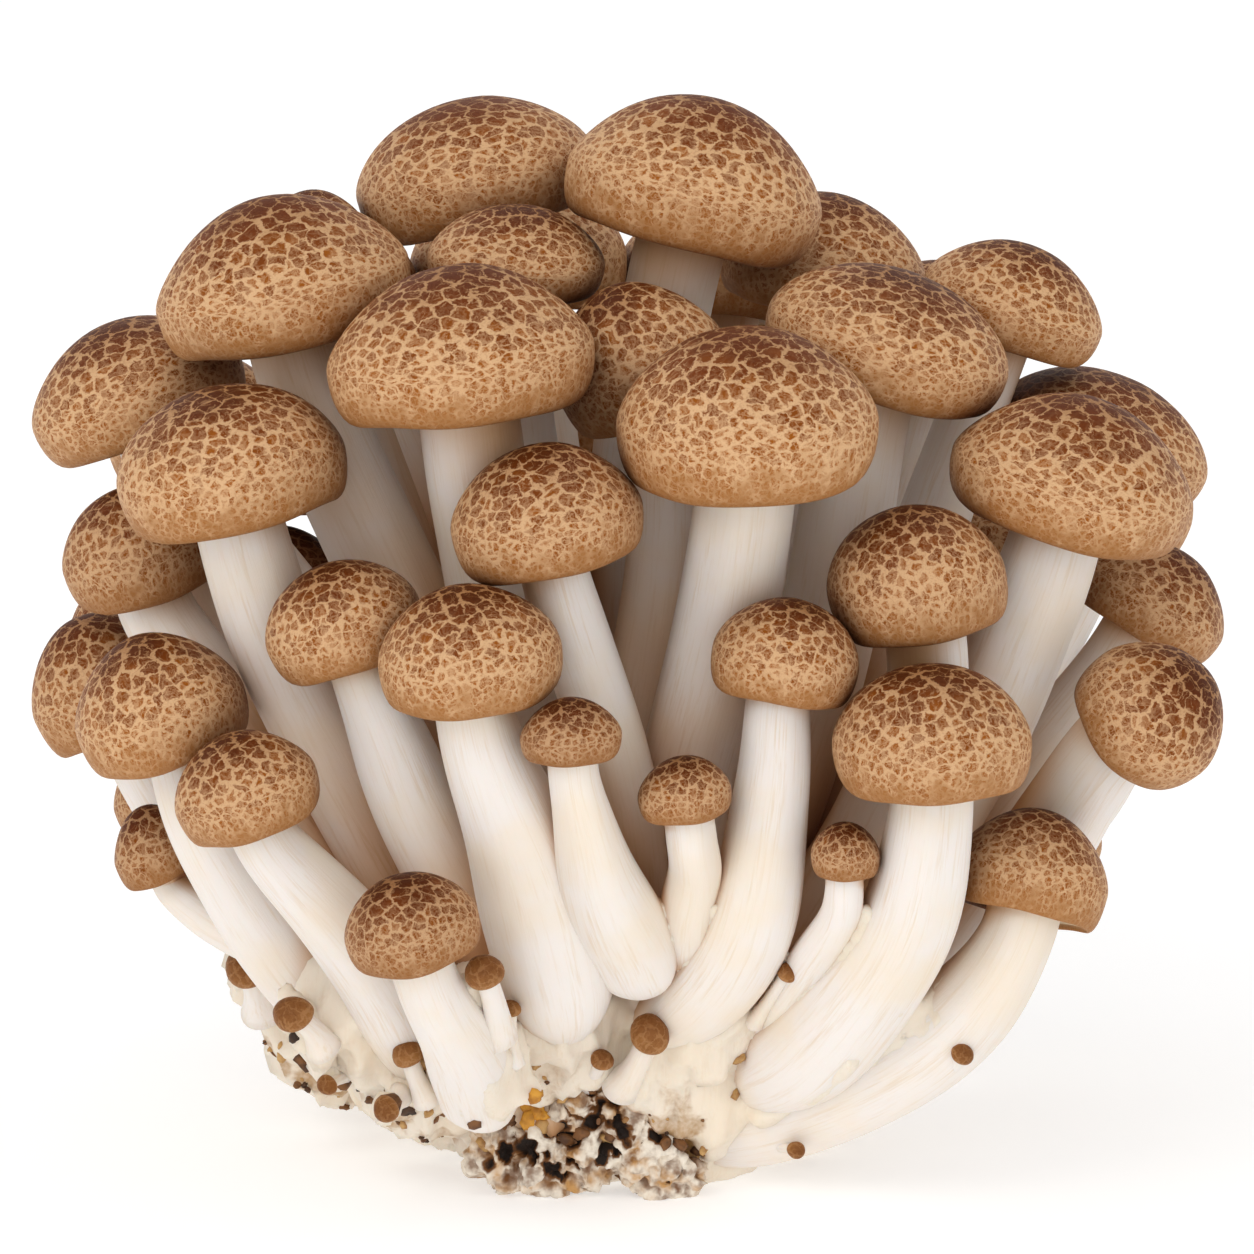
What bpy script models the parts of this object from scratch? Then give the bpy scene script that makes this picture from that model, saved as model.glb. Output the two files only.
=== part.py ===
"""Brown beech mushroom cluster: domed brown caps on pale stems that fan out of one knotted root base.

It stands on the flat cut underside of the root. The origin is in the middle of that cut face,
+Z is up, and the side with the lowest, nearest mushrooms looks along -Y.
"""
import math
import random
from collections import namedtuple

import bmesh
import bpy
import numpy as np
from mathutils import Matrix, Vector
from mathutils.bvhtree import BVHTree

# Sizes and places are in millimetres, and every mesh is made in metres
MM = 0.001
CLUSTER_NAME = "brown_beech_mushroom_cluster"
GAP = 0.3

# Places are written as a front view shows them: across and up from the root's middle, and the
# depth behind it. The view looks down by an angle, from a distance, at a middle of its own.
VIEW_ELEVATION = math.radians(10)
VIEW_DISTANCE = 700.0
VIEW_MIDDLE = np.array([-1.3, 52.3])

# A mushroom whose cap the front view shows: its outline's left, right, bottom and top, its lean
# in degrees to the right and to the front, and its depth. Its stem runs from the foot past the
# bend, both (across, up, depth), and is as thick as (neck, belly).
Seen = namedtuple("Seen", "left right bottom top lean depth foot bend stem")
# A mushroom that the front view hides or shows end on: its cap's middle (across, up, depth) and
# its (diameter, height) are given instead.
Hidden = namedtuple("Hidden", "middle size lean foot bend stem")

FRONT_MUSHROOMS = (
    # Crown of the cluster
    Seen(-28.5, -4.5, 90.6, 105.2, (-12, 0), 17, (-4, 24, 6), (-12, 62, 12), (9.0, 10.0)),
    Seen(-7.0, 18.0, 88.2, 105.5, (14, 0), 3, (0, 24, 2), (0.5, 70, 12), (8.8, 9.5)),
    Seen(-38.0, -27.0, 87.0, 96.0, (-8, -6), 13, (-8, 24, 8), (-24, 60, 14), (6.0, 7.0)),
    Seen(-48.5, -23.5, 78.8, 95.5, (-12, 3), -6, (-10, 22, -4), (-24.5, 56, -6), (8.6, 10.0)),
    Seen(-21.3, -3.4, 84.4, 94.5, (4, 4), -2, (-5, 22, -3), (-11, 58, -1), (7.0, 8.0)),
    Seen(8.0, 28.5, 83.0, 95.7, (8, 0), 19, (4, 24, 6), (14, 58, 12), (8.0, 9.0)),
    Seen(28.5, 46.0, 78.3, 91.2, (20, 3), 8, (10, 22, 2), (27, 56, 3), (6.6, 8.0)),
    # Upper shoulder
    Seen(12.5, 36.6, 73.2, 88.8, (17, 3), -8, (8, 20, -6), (19.8, 58, -7), (8.6, 9.4)),
    Seen(-31.0, -4.5, 71.7, 88.4, (-6, 4), -22, (-5, 20, -8), (-14, 52, -11), (9.6, 9.0)),
    Seen(-8.4, 8.7, 71.0, 86.9, (-24, 4), -10, (0, 22, -6), (1.5, 52, -5), (7.5, 8.0)),
    Seen(-2.6, 23.6, 64.5, 82.3, (-1, 6), -28, (4, 22, -12), (6.6, 46, -18.5), (9.6, 9.8)),
    Seen(-60.6, -40.0, 68.4, 83.6, (-20, 2), 6, (-20, 22, -2), (-40, 50, 7), (7.5, 9.0)),
    Seen(-52.4, -29.7, 60.7, 76.6, (-10, 4), -20, (-17, 18, -12), (-32.3, 43, -15), (8.5, 10.0)),
    Seen(31.0, 55.2, 59.2, 76.0, (14, 4), -16, (14, 12, -8), (35.5, 46, -13), (9.0, 10.0)),
    Seen(36.0, 56.3, 64.0, 78.4, (22, 3), 12, (14, 20, 4), (34, 46, 9), (7.6, 9.0)),
    # Middle
    Seen(-19.0, 0.3, 56.7, 70.6, (-8, 5), -31, (-0.5, 18, -18), (-4.2, 45, -26), (6.4, 7.2)),
    Seen(18.8, 36.6, 50.2, 64.4, (-10, 4), -26, (12, 16, -10), (26, 38, -16), (7.6, 8.5)),
    Seen(-57.5, -42.3, 53.7, 66.5, (-14, 3), -4, (-22, 16, -8), (-38, 40, -8), (7.5, 8.5)),
    Seen(44.0, 58.4, 48.5, 61.0, (30, 0), 0, (12, 14, 0), (38, 36, 1), (7.0, 9.0)),
    Seen(-37.1, -22.0, 46.4, 59.1, (-18, 5), -28, (-13, 16, -18), (-23.8, 38, -25), (5.8, 9.0)),
    Seen(-26.3, -8.0, 43.0, 56.5, (-5, 6), -39, (-7.8, 13.0, -24), (-12, 30, -34), (7.2, 11.5)),
    Seen(7.3, 21.8, 44.0, 55.2, (9, 4), -32.5, (1, 12, -20), (12.4, 29, -31), (6.3, 9.0)),
    # Lower shoulder
    Seen(-60.9, -45.5, 39.4, 53.9, (-24, 0), 4, (-26, 14, -2), (-42, 28, 2), (6.5, 8.0)),
    Seen(-56.2, -39.4, 37.2, 51.8, (-16, 3), -22, (-26, 10, -12), (-41.3, 28, -20), (5.6, 8.8)),
    Hidden((52.2, 44.6, -22), (15.0, 10.4), (45, 35), (14, 8, -4), (38, 26, -9), (8.0, 10.0)),
    Seen(19.2, 39.0, 34.2, 48.6, (-2, 6), -36, (11, 7, -17), (25.3, 20.5, -31), (7.8, 10.5)),
    Seen(-11.9, -1.8, 38.3, 45.3, (-3, 5), -43, (0.5, 17, -26), (-3.6, 27, -36), (4.6, 8.4)),
    Seen(-46.3, -32.4, 30.0, 42.1, (-20, 5), -34, (-22, 8, -20), (-31, 24, -30), (6.2, 8.5)),
    Seen(-0.1, 9.2, 32.4, 39.4, (-8, 5), -38, (3.5, 17, -24), (5.2, 25.5, -32), (4.6, 5.5)),
    # Lowest
    Seen(-52.6, -43.6, 26.0, 34.6, (-20, 0), -9, (-30, 16, -10), (-41.5, 22.5, -12), (3.6, 4.5)),
    Seen(17.0, 24.0, 26.9, 32.7, (0, 5), -36, (12, 12, -22), (18.6, 21, -31), (3.6, 4.6)),
    Seen(31.5, 46.8, 21.8, 34.0, (14, -16), -25, (3, 3, -10), (27.6, 10.4, -22), (7.2, 11.0)),
    Seen(-29.5, -16.2, 17.1, 27.9, (-14, 8), -43, (-15.5, 3.5, -24), (-17.7, 10.5, -34), (5.8, 8.6)),
)

BACK_MUSHROOMS = (
    # Crown
    Hidden((-12.0, 90.5, 37), (22.4, 13.4), (-4, -8), (-4, 24, 10), (-9, 58, 18), (8.5, 9.5)),
    Hidden((8.6, 89.2, 43), (22.0, 13.2), (6, -10), (2, 24, 10), (6, 58, 18), (8.0, 9.0)),
    Hidden((30.0, 83.0, 32), (19.0, 12.4), (12, -10), (8, 22, 10), (22, 54, 18), (7.5, 9.0)),
    Hidden((-45.0, 74.0, 27), (18.5, 12.4), (-16, -10), (-16, 20, 8), (-32, 50, 17), (7.5, 8.5)),
    Hidden((-29.2, 87.8, 31), (13.6, 10.0), (-8, -8), (-10, 22, 10), (-18, 54, 18), (6.8, 8.0)),
    # Shoulder
    Hidden((-29.0, 71.0, 42), (20.5, 13.0), (-8, -12), (-10, 20, 12), (-22, 48, 26), (7.5, 9.0)),
    Hidden((-5.0, 74.0, 48), (21.5, 13.6), (-2, -14), (-2, 20, 14), (-4, 46, 32), (8.5, 10.0)),
    Hidden((18.5, 72.5, 46), (19.5, 12.8), (6, -14), (6, 20, 12), (14, 46, 30), (7.5, 8.5)),
    Hidden((48.0, 67.0, 30), (17.0, 12.0), (22, -12), (16, 18, 8), (36, 44, 20), (7.0, 8.5)),
    Hidden((36.5, 60.5, 43), (16.5, 11.8), (14, -16), (12, 18, 12), (28, 40, 30), (7.0, 8.5)),
    # Middle
    Hidden((-50.0, 53.0, 26), (16.0, 11.6), (-18, -12), (-20, 17, 9), (-38, 37, 18), (7.0, 8.5)),
    Hidden((-36.2, 56.8, 42), (16.5, 11.8), (-12, -14), (-16, 17, 14), (-28, 38, 28), (7.0, 8.5)),
    Hidden((-18.0, 53.5, 51), (16.5, 11.6), (-6, -14), (-8, 14, 18), (-14, 34, 38), (6.4, 9.0)),
    Hidden((4.0, 52.5, 52), (16.5, 11.6), (2, -14), (2, 14, 18), (4, 34, 40), (6.2, 9.0)),
    Hidden((23.5, 53.0, 50), (14.0, 10.4), (8, -16), (7, 16, 15), (16, 34, 36), (6.2, 8.0)),
    Hidden((49.0, 44.0, 25), (15.5, 11.2), (22, -12), (16, 12, 10), (36, 27, 20), (6.8, 9.0)),
    # Lowest
    Hidden((-29.0, 36.0, 47), (13.4, 10.0), (-10, -16), (-16, 10, 20), (-23, 22, 38), (5.8, 7.8)),
    Hidden((-47.0, 37.0, 30), (13.0, 9.8), (-18, -12), (-20, 12, 12), (-37, 25, 22), (6.0, 8.0)),
    Hidden((-8.0, 33.0, 50), (12.0, 9.2), (-4, -16), (-5, 9, 22), (-7, 20, 41), (5.4, 7.6)),
    Hidden((12.0, 34.0, 50), (13.0, 9.8), (4, -16), (5, 9, 20), (10, 20, 41), (5.6, 8.0)),
    Hidden((28.0, 37.0, 46), (12.0, 9.0), (8, -14), (12, 10, 18), (22, 24, 37), (5.6, 7.6)),
    Hidden((41.0, 32.0, 37), (11.5, 8.6), (12, -12), (14, 8, 16), (31, 18, 31), (4.8, 7.2)),
)

# A cap's dome from crown to rim, in shares of its radius and height
DOME = ((0.0, 1.0), (0.47, 0.91), (0.82, 0.68), (1.0, 0.35), (0.84, 0.0))
# Its underside: a ring that the gills raise and lower, then a flat seat round the stem's neck
GILL_RING = (0.74, 0.09)
GILL_DEPTH = 0.45
SEAT_HEIGHT = 0.16
SEAT_MARGIN = 0.6
# Sides of a cap, by its radius: large, middling and small
CAP_SIDES = ((11.0, 14), (8.0, 12), (0.0, 10))
FIT_ROUNDS = 12
FIT_STEPS = 24

# Points along a stem, before the straight collar under its cap
STEM_POINTS = 6
COLLAR = 1.5
# How far the neck leans on from the cap's axis, as a share of its distance to the bend
NECK_REACH = 0.45
# A stem slimmer than this, or out of sight, is a tube with six sides; the rest have eight
SLIM_BELLY = 9.9
# The shares of a stem's length over which its foot rounds off and its belly slims to the neck
FOOT_SHARE = 0.18
BELLY_SHARE = 0.7
FOOT_ROUNDING = 0.7

# The knotted root: one core and rings of lumps, as (height, ring radius, across, depth, count, lump radius)
CORE_MIDDLE = (-6.0, 3.0, 11.0)
CORE_RADII = (26.0, 21.0, 13.0)
ROOT_RINGS = (
    (5.5, 11.0, 0.0, 1.0, 5, 8.2),
    (12.0, 21.0, -9.0, 4.0, 6, 9.0),
    (20.0, 25.0, -10.0, 5.0, 8, 8.6),
)
ROOT_SEED = 5
ROOT_JITTER = 0.16

# Buds that the front view shows on the root and the lowest stems: the head's (across, up) and radius,
# and the foot's (across, up)
FRONT_BUDS = (
    ((-43.0, 23.8), 1.6, (-42.2, 17.7)), ((-39.0, 18.4), 2.4, (-37.6, 14.1)), ((-34.7, 13.5), 1.9, (-31.8, 10.3)),
    ((-15.6, 17.7), 1.8, (-15.0, 11.3)), ((-12.9, 14.0), 1.0, (-12.3, 9.4)), ((-23.2, 9.5), 1.5, (-21.2, 4.9)),
    ((-3.8, 9.0), 1.1, (-5.7, 5.5)), ((0.9, 11.5), 2.0, (-2.1, 6.1)), ((14.7, 17.7), 1.0, (11.1, 12.3)),
    ((32.2, 9.6), 1.1, (29.8, 7.2)), ((15.6, 0.0), 0.9, (13.9, 0.6)), ((-31.3, 6.5), 1.0, (-29.8, 7.6)),
    ((-25.4, 4.1), 1.3, (-24.0, 5.4)),
)
# and round the back: how many, their height and the angles they spread over, from +X
BACK_BUD_COUNT = 5
BACK_BUD_HEIGHT = (5.0, 15.0)
BACK_BUD_ANGLES = (20.0, 165.0)
BACK_BUD_RADIUS = (1.1, 2.2)
# A bud's head stands off the surface, and one round the back rises from its foot, by shares of its radius
BUD_STAND_OFF = 1.1
BUD_RISE = 1.8
BUD_SIDES = 5
# A bud's head from its top to its neck, and the width of its foot, in shares of its radius
BUD_OUTLINE = ((0.0, 1.0), (0.85, 0.5), (1.0, -0.2), (0.55, -0.7))
BUD_FOOT = 0.7

# The plug of old growing medium that the root still holds in front, beside the cut face
PLUG_MIDDLE = (-5.0, -16.0, 4.0)
PLUG_REACH = (7.5, 4.5, 3.0)
PLUG_CRUMBS = 9
CRUMB_RADIUS = (3.6, 4.8)
PLUG_SEED = 11

CUT_BLOCK = 200.0
WELD = 1e-7


def from_view(across, up, depth):
    """World point in mm that the front view shows at (across, up), depth behind the root's middle."""
    sine, cosine = math.sin(VIEW_ELEVATION), math.cos(VIEW_ELEVATION)
    rise = up - VIEW_MIDDLE[1]
    z = (up + depth * (rise * cosine / VIEW_DISTANCE - sine)) / (cosine + rise * sine / VIEW_DISTANCE)
    scale = 1 + (depth * cosine - z * sine) / VIEW_DISTANCE
    return np.array([VIEW_MIDDLE[0] + (across - VIEW_MIDDLE[0]) * scale, depth, z])


def to_view(points):
    """Where the front view shows world points, as rows of (across, up)."""
    sine, cosine = math.sin(VIEW_ELEVATION), math.cos(VIEW_ELEVATION)
    away = points[:, 1] * cosine - points[:, 2] * sine
    seen = np.stack([points[:, 0], points[:, 1] * sine + points[:, 2] * cosine], axis=1)
    return VIEW_MIDDLE + (seen - VIEW_MIDDLE) / (1 + away / VIEW_DISTANCE)[:, None]


# Caps

Cap = namedtuple("Cap", "middle axis radius height")


def leaning_axis(lean):
    """Unit axis that leans by (right, front) degrees from upright."""
    right, front = (math.tan(math.radians(angle)) for angle in lean)
    axis = np.array([right, -front, 1.0])
    return axis / np.linalg.norm(axis)


def across_axis(axis):
    """Two unit directions across an axis, which make a right-handed set with it."""
    first = np.cross([0.0, 1.0, 0.0], axis)
    first /= np.linalg.norm(first)
    return first, np.cross(axis, first)


def dome_points(cap):
    """World points of the rings of a cap's dome."""
    first, second = across_axis(cap.axis)
    points = []
    for share_out, share_up in DOME:
        for step in range(FIT_STEPS):
            angle = 2 * math.pi * step / FIT_STEPS
            out = math.cos(angle) * first + math.sin(angle) * second
            points.append(cap.middle + out * cap.radius * share_out + cap.axis * cap.height * (share_up - 0.5))
    return np.array(points)


def fitted_cap(row):
    """The cap of a row. One that is seen gets the place and size that its outline in the view needs."""
    axis = leaning_axis(row.lean)
    if isinstance(row, Hidden):
        diameter, height = row.size
        return Cap(from_view(*row.middle), axis, diameter / 2, height)
    wanted_middle = np.array([row.left + row.right, row.bottom + row.top]) / 2
    wanted_reach = np.array([row.right - row.left, row.top - row.bottom])
    middle, radius, height = wanted_middle.copy(), wanted_reach[0] / 2, wanted_reach[1]
    for _ in range(FIT_ROUNDS):
        outline = to_view(dome_points(Cap(from_view(*middle, row.depth), axis, radius, height)))
        low, high = outline.min(axis=0), outline.max(axis=0)
        middle += wanted_middle - (low + high) / 2
        radius *= wanted_reach[0] / (high - low)[0]
        height += wanted_reach[1] - (high - low)[1]
    return Cap(from_view(*middle, row.depth), axis, radius, height)


def turned_mesh(name, outline, sides):
    """Closed mesh of an outline of (radius, height) points in mm, from its top down, turned round Z."""
    profile = bpy.data.meshes.new(name)
    points = [(radius * MM, 0.0, height * MM) for radius, height in outline]
    profile.from_pydata(points, [(i, i + 1) for i in range(len(points) - 1)], [])
    guide = bpy.data.objects.new(name, profile)
    bpy.context.scene.collection.objects.link(guide)
    screw = guide.modifiers.new("turn", "SCREW")
    screw.axis = "Z"
    screw.steps = screw.render_steps = sides
    screw.use_merge_vertices = True
    screw.merge_threshold = WELD
    mesh = applied_mesh(guide)
    bpy.data.objects.remove(guide)
    return mesh


def applied_mesh(made):
    """The mesh of an object with its modifiers applied, closed and facing out."""
    bpy.context.view_layer.update()
    graph = bpy.context.evaluated_depsgraph_get()
    mesh = bpy.data.meshes.new_from_object(made.evaluated_get(graph))
    shape = bmesh.new()
    shape.from_mesh(mesh)
    bmesh.ops.remove_doubles(shape, verts=shape.verts, dist=WELD)
    bmesh.ops.recalc_face_normals(shape, faces=shape.faces)
    shape.to_mesh(mesh)
    shape.free()
    return mesh


def cap_outline(cap, neck):
    """A cap's outline from its crown down over the rim to the seat of a stem that is neck wide."""
    outline = [(cap.radius * out, cap.height * up) for out, up in (*DOME, GILL_RING)]
    seat = cap.height * SEAT_HEIGHT
    return outline + [(neck / 2 + SEAT_MARGIN, seat), (0.0, seat)]


def raise_gills(mesh, cap, sides):
    """Raise and lower every second point of the ring under the rim, so that ridges run to the stem."""
    ring_radius, ring_height = cap.radius * GILL_RING[0] * MM, cap.height * GILL_RING[1] * MM
    for point in mesh.vertices:
        angle = math.atan2(point.co.y, point.co.x)
        on_ring = abs(math.hypot(point.co.x, point.co.y) - ring_radius) < GAP * MM
        if on_ring and abs(point.co.z - ring_height) < GAP * MM:
            side = 1 if round(angle * sides / (2 * math.pi)) % 2 else -1
            point.co.z += side * GILL_DEPTH * MM


def make_cap(name, cap, neck, material):
    """One cap, standing on its own stem's axis."""
    sides = next(count for radius, count in CAP_SIDES if cap.radius >= radius)
    mesh = turned_mesh(name, cap_outline(cap, neck), sides)
    raise_gills(mesh, cap, sides)
    made = new_object(name, mesh, material)
    first, second = across_axis(cap.axis)
    turn = Matrix((first, second, cap.axis)).transposed().to_4x4()
    foot = Vector((cap.middle - cap.axis * cap.height / 2) * MM)
    made.matrix_world = Matrix.Translation(foot) @ turn
    return made


# Stems

def stem_line(row, cap):
    """A stem's centre line from its foot to its neck under the cap, as (point, radius) pairs."""
    neck = cap.middle - cap.axis * (cap.height * (0.5 - SEAT_HEIGHT) + GAP)
    collar = neck - cap.axis * COLLAR
    foot, bend = from_view(*row.foot), from_view(*row.bend)
    high = collar - cap.axis * np.linalg.norm(collar - bend) * NECK_REACH
    low = (8 * bend - foot - collar - 3 * high) / 3
    line = []
    for step in range(STEM_POINTS):
        t = step / (STEM_POINTS - 1)
        s = 1 - t
        point = s ** 3 * foot + 3 * s * s * t * low + 3 * s * t * t * high + t ** 3 * collar
        line.append((point, stem_radius(row.stem, t)))
    return line + [(neck, row.stem[0] / 2)]


def stem_radius(stem, t):
    """Radius of a stem at a share t of its length: a rounded foot, a belly and a slimmer neck."""
    neck, belly = stem[0] / 2, stem[1] / 2
    swell = 0.5 - 0.5 * math.cos(math.pi * min(1.0, (1 - t) / BELLY_SHARE))
    rounding = math.sqrt(1 - FOOT_ROUNDING * max(0.0, 1 - t / FOOT_SHARE) ** 2)
    return (neck + (belly - neck) * swell) * rounding


def make_stem(name, line, slim):
    """A solid tube along a stem's line, with its two ends closed."""
    curve = bpy.data.curves.new(name, "CURVE")
    curve.dimensions = "3D"
    curve.bevel_depth = MM
    curve.bevel_resolution = 1 if slim else 2
    curve.use_fill_caps = True
    spline = curve.splines.new("POLY")
    spline.points.add(len(line) - 1)
    for point, (place, radius) in zip(spline.points, line):
        point.co = (*(place * MM), 1.0)
        point.radius = radius
    guide = bpy.data.objects.new(name, curve)
    bpy.context.scene.collection.objects.link(guide)
    mesh = applied_mesh(guide)
    bpy.data.objects.remove(guide)
    return bpy.data.objects.new(name, mesh)


# Root

def make_lump(name, middle, radii, detail):
    """A faceted ball, stretched to its three radii: detail 1 has 20 faces and 2 has 80."""
    shape = bmesh.new()
    size = Matrix.Diagonal((*(Vector(radii) * MM), 1.0))
    place = Matrix.Translation(Vector(middle) * MM)
    bmesh.ops.create_icosphere(shape, subdivisions=detail, radius=1.0, matrix=place @ size)
    mesh = bpy.data.meshes.new(name)
    shape.to_mesh(mesh)
    shape.free()
    return bpy.data.objects.new(name, mesh)


def root_lumps():
    """The lumps of the root, ring above ring, each a little off its place and size."""
    draw = random.Random(ROOT_SEED)
    lumps = []
    for height, ring, across, depth, count, radius in ROOT_RINGS:
        for step in range(count):
            angle = 2 * math.pi * (step + draw.uniform(-0.2, 0.2)) / count
            out = ring * (1 + draw.uniform(-ROOT_JITTER, ROOT_JITTER) / 2)
            middle = (across + out * math.cos(angle), depth + out * math.sin(angle), height + draw.uniform(-1, 1))
            radii = [radius * (1 + draw.uniform(-ROOT_JITTER, ROOT_JITTER)) for _ in range(3)]
            lumps.append(make_lump("root_lump", middle, radii, 2))
    return lumps


def plug_crumbs(grow):
    """The crumbs of the plug, each larger by grow all round."""
    draw = random.Random(PLUG_SEED)
    crumbs = []
    for step in range(PLUG_CRUMBS):
        along = 2 * step / (PLUG_CRUMBS - 1) - 1
        offset = (along, draw.uniform(-1, 1), draw.uniform(-1, 1))
        middle = [m + o * r for m, o, r in zip(PLUG_MIDDLE, offset, PLUG_REACH)]
        radius = draw.uniform(*CRUMB_RADIUS) + grow
        crumbs.append(make_lump("crumb", middle, (radius, radius, radius), 1))
    return crumbs


# Buds

def bud_places(root_mesh):
    """Where buds stand on the fused root: (foot, head, head radius), in mm."""
    shape = bmesh.new()
    shape.from_mesh(root_mesh)
    surface = BVHTree.FromBMesh(shape)
    shape.free()
    places = []
    for head, radius, foot in FRONT_BUDS:
        near, far = (from_view(*foot, depth) for depth in (-100.0, 0.0))
        hit, normal, _, _ = surface.ray_cast(Vector(near * MM), Vector(far - near).normalized())
        if hit is not None:
            stood_off = from_view(*head, hit.y / MM - radius * BUD_STAND_OFF)
            places.append((hit / MM - normal * radius, Vector(stood_off), radius))
    draw = random.Random(ROOT_SEED)
    for step in range(BACK_BUD_COUNT):
        low, high = BACK_BUD_ANGLES
        angle = math.radians(low + (high - low) * (step + draw.uniform(0.2, 0.8)) / BACK_BUD_COUNT)
        out = Vector((math.cos(angle), math.sin(angle), 0.0))
        start = Vector((CORE_MIDDLE[0], CORE_MIDDLE[1], draw.uniform(*BACK_BUD_HEIGHT))) + out * 100
        radius = draw.uniform(*BACK_BUD_RADIUS)
        hit, normal, _, _ = surface.ray_cast(start * MM, -out)
        if hit is not None:
            head = hit / MM + normal * radius * BUD_STAND_OFF + Vector((0.0, 0.0, radius * BUD_RISE))
            places.append((hit / MM - normal * radius, head, radius))
    return places


def make_bud(foot, head, radius):
    """A tiny stalk from its foot to a round head."""
    axis = head - foot
    outline = [(out * radius, axis.length + up * radius) for out, up in BUD_OUTLINE]
    outline += [(BUD_FOOT * radius, 0.0), (0.0, 0.0)]
    made = bpy.data.objects.new("bud", turned_mesh("bud", outline, BUD_SIDES))
    first, second = across_axis(np.array(axis.normalized()))
    turn = Matrix((first, second, axis.normalized())).transposed().to_4x4()
    made.data.transform(Matrix.Translation(foot * MM) @ turn)
    return made


# Joining

def new_object(name, mesh, material):
    """A smooth shaded object of the cluster."""
    made = bpy.data.objects.new(name, mesh)
    mesh.materials.clear()
    mesh.materials.append(material)
    mesh.shade_smooth()
    mesh.set_sharp_from_angle(angle=math.radians(50))
    bpy.data.collections[CLUSTER_NAME].objects.link(made)
    return made


def combined(base, others, operation):
    """Mesh of an object after one Boolean with all the others, which are removed with it."""
    group = bpy.data.collections.new("operands")
    bpy.context.scene.collection.children.link(group)
    for other in others:
        group.objects.link(other)
    bpy.context.scene.collection.objects.link(base)
    boolean = base.modifiers.new("join", "BOOLEAN")
    boolean.operation = operation
    boolean.operand_type = "COLLECTION"
    boolean.collection = group
    boolean.solver = "MANIFOLD"
    mesh = applied_mesh(base)
    for spent in (base, *others):
        bpy.data.objects.remove(spent)
    bpy.data.collections.remove(group)
    return largest_shell(mesh)


def largest_shell(mesh):
    """The mesh without its loose scraps and sealed hollows."""
    shape = bmesh.new()
    shape.from_mesh(mesh)
    unseen = set(shape.faces)
    shells = []
    while unseen:
        shell, edge = set(), [unseen.pop()]
        while edge:
            face = edge.pop()
            shell.add(face)
            near = {other for side in face.edges for other in side.link_faces} & unseen
            unseen -= near
            edge.extend(near)
        shells.append(shell)
    keep = max(shells, key=len)
    bmesh.ops.delete(shape, geom=[face for face in shape.faces if face not in keep], context="FACES")
    shape.to_mesh(mesh)
    shape.free()
    return mesh


def cut_block():
    """The block below the cut face."""
    shape = bmesh.new()
    drop = Matrix.Translation((0.0, 0.0, -CUT_BLOCK / 2 * MM))
    bmesh.ops.create_cube(shape, size=CUT_BLOCK * MM, matrix=drop)
    mesh = bpy.data.meshes.new("cut_block")
    shape.to_mesh(mesh)
    shape.free()
    return bpy.data.objects.new("cut_block", mesh)


def make_stems_and_base(stems, material):
    """All stems, the knotted root and the buds, grown together as one body."""
    core = make_lump("root_core", CORE_MIDDLE, CORE_RADII, 2)
    mesh = combined(core, stems + root_lumps(), "UNION")
    buds = [make_bud(*place) for place in bud_places(mesh)]
    mesh = combined(bpy.data.objects.new("budded", mesh), buds, "UNION")
    mesh = combined(bpy.data.objects.new("cut", mesh), [cut_block(), *plug_crumbs(GAP)], "DIFFERENCE")
    return new_object("stems_and_base", mesh, material)


def make_plug(material):
    """The crumbly plug of growing medium, cut level with the root."""
    first, *others = plug_crumbs(0.0)
    mesh = combined(first, others, "UNION")
    mesh = combined(bpy.data.objects.new("cut", mesh), [cut_block()], "DIFFERENCE")
    return new_object("substrate_plug", mesh, material)


def new_material(name, colour, roughness):
    """A plain finish."""
    material = bpy.data.materials.new(name)
    material.use_nodes = True
    shader = material.node_tree.nodes["Principled BSDF"]
    shader.inputs["Base Color"].default_value = (*colour, 1.0)
    shader.inputs["Roughness"].default_value = roughness
    return material


def clear_scene():
    """Start from an empty scene with one collection for the cluster."""
    for spare in list(bpy.data.objects):
        bpy.data.objects.remove(spare)
    bpy.context.scene.collection.children.link(bpy.data.collections.new(CLUSTER_NAME))


def main():
    """Build every piece of the cluster."""
    clear_scene()
    cap_skin = new_material("cap_skin", (0.36, 0.19, 0.085), 0.5)
    stem_flesh = new_material("stem_flesh", (0.84, 0.77, 0.66), 0.6)
    substrate = new_material("substrate", (0.16, 0.09, 0.045), 0.9)
    stems = []
    for number, row in enumerate(FRONT_MUSHROOMS + BACK_MUSHROOMS, start=1):
        cap = fitted_cap(row)
        make_cap(f"cap_{number:02d}", cap, row.stem[0], cap_skin)
        slim = isinstance(row, Hidden) or max(row.stem) < SLIM_BELLY
        stems.append(make_stem("stem", stem_line(row, cap), slim))
    make_stems_and_base(stems, stem_flesh)
    make_plug(substrate)


main()
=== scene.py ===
"""Brown beech mushroom cluster, dressed for a studio picture.

Patterned caps with gills stand on fibrous stems, which grow out of a knotted root with buds, crumbs and a
plug of old growing medium. Lengths named here are millimetres, and every mesh is made in metres. The place,
axis and size of each cap are measured from the frame's solids. The stems repeat the rows that those solids
were drawn from, because a fused solid can't be measured stem by stem.
"""
from __future__ import annotations

import logging
import math
import random
from dataclasses import dataclass, field
from enum import Enum
from typing import NamedTuple

import bmesh
import bpy
import numpy as np
from mathutils import Matrix, Vector, noise
from mathutils.bvhtree import BVHTree

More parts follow.
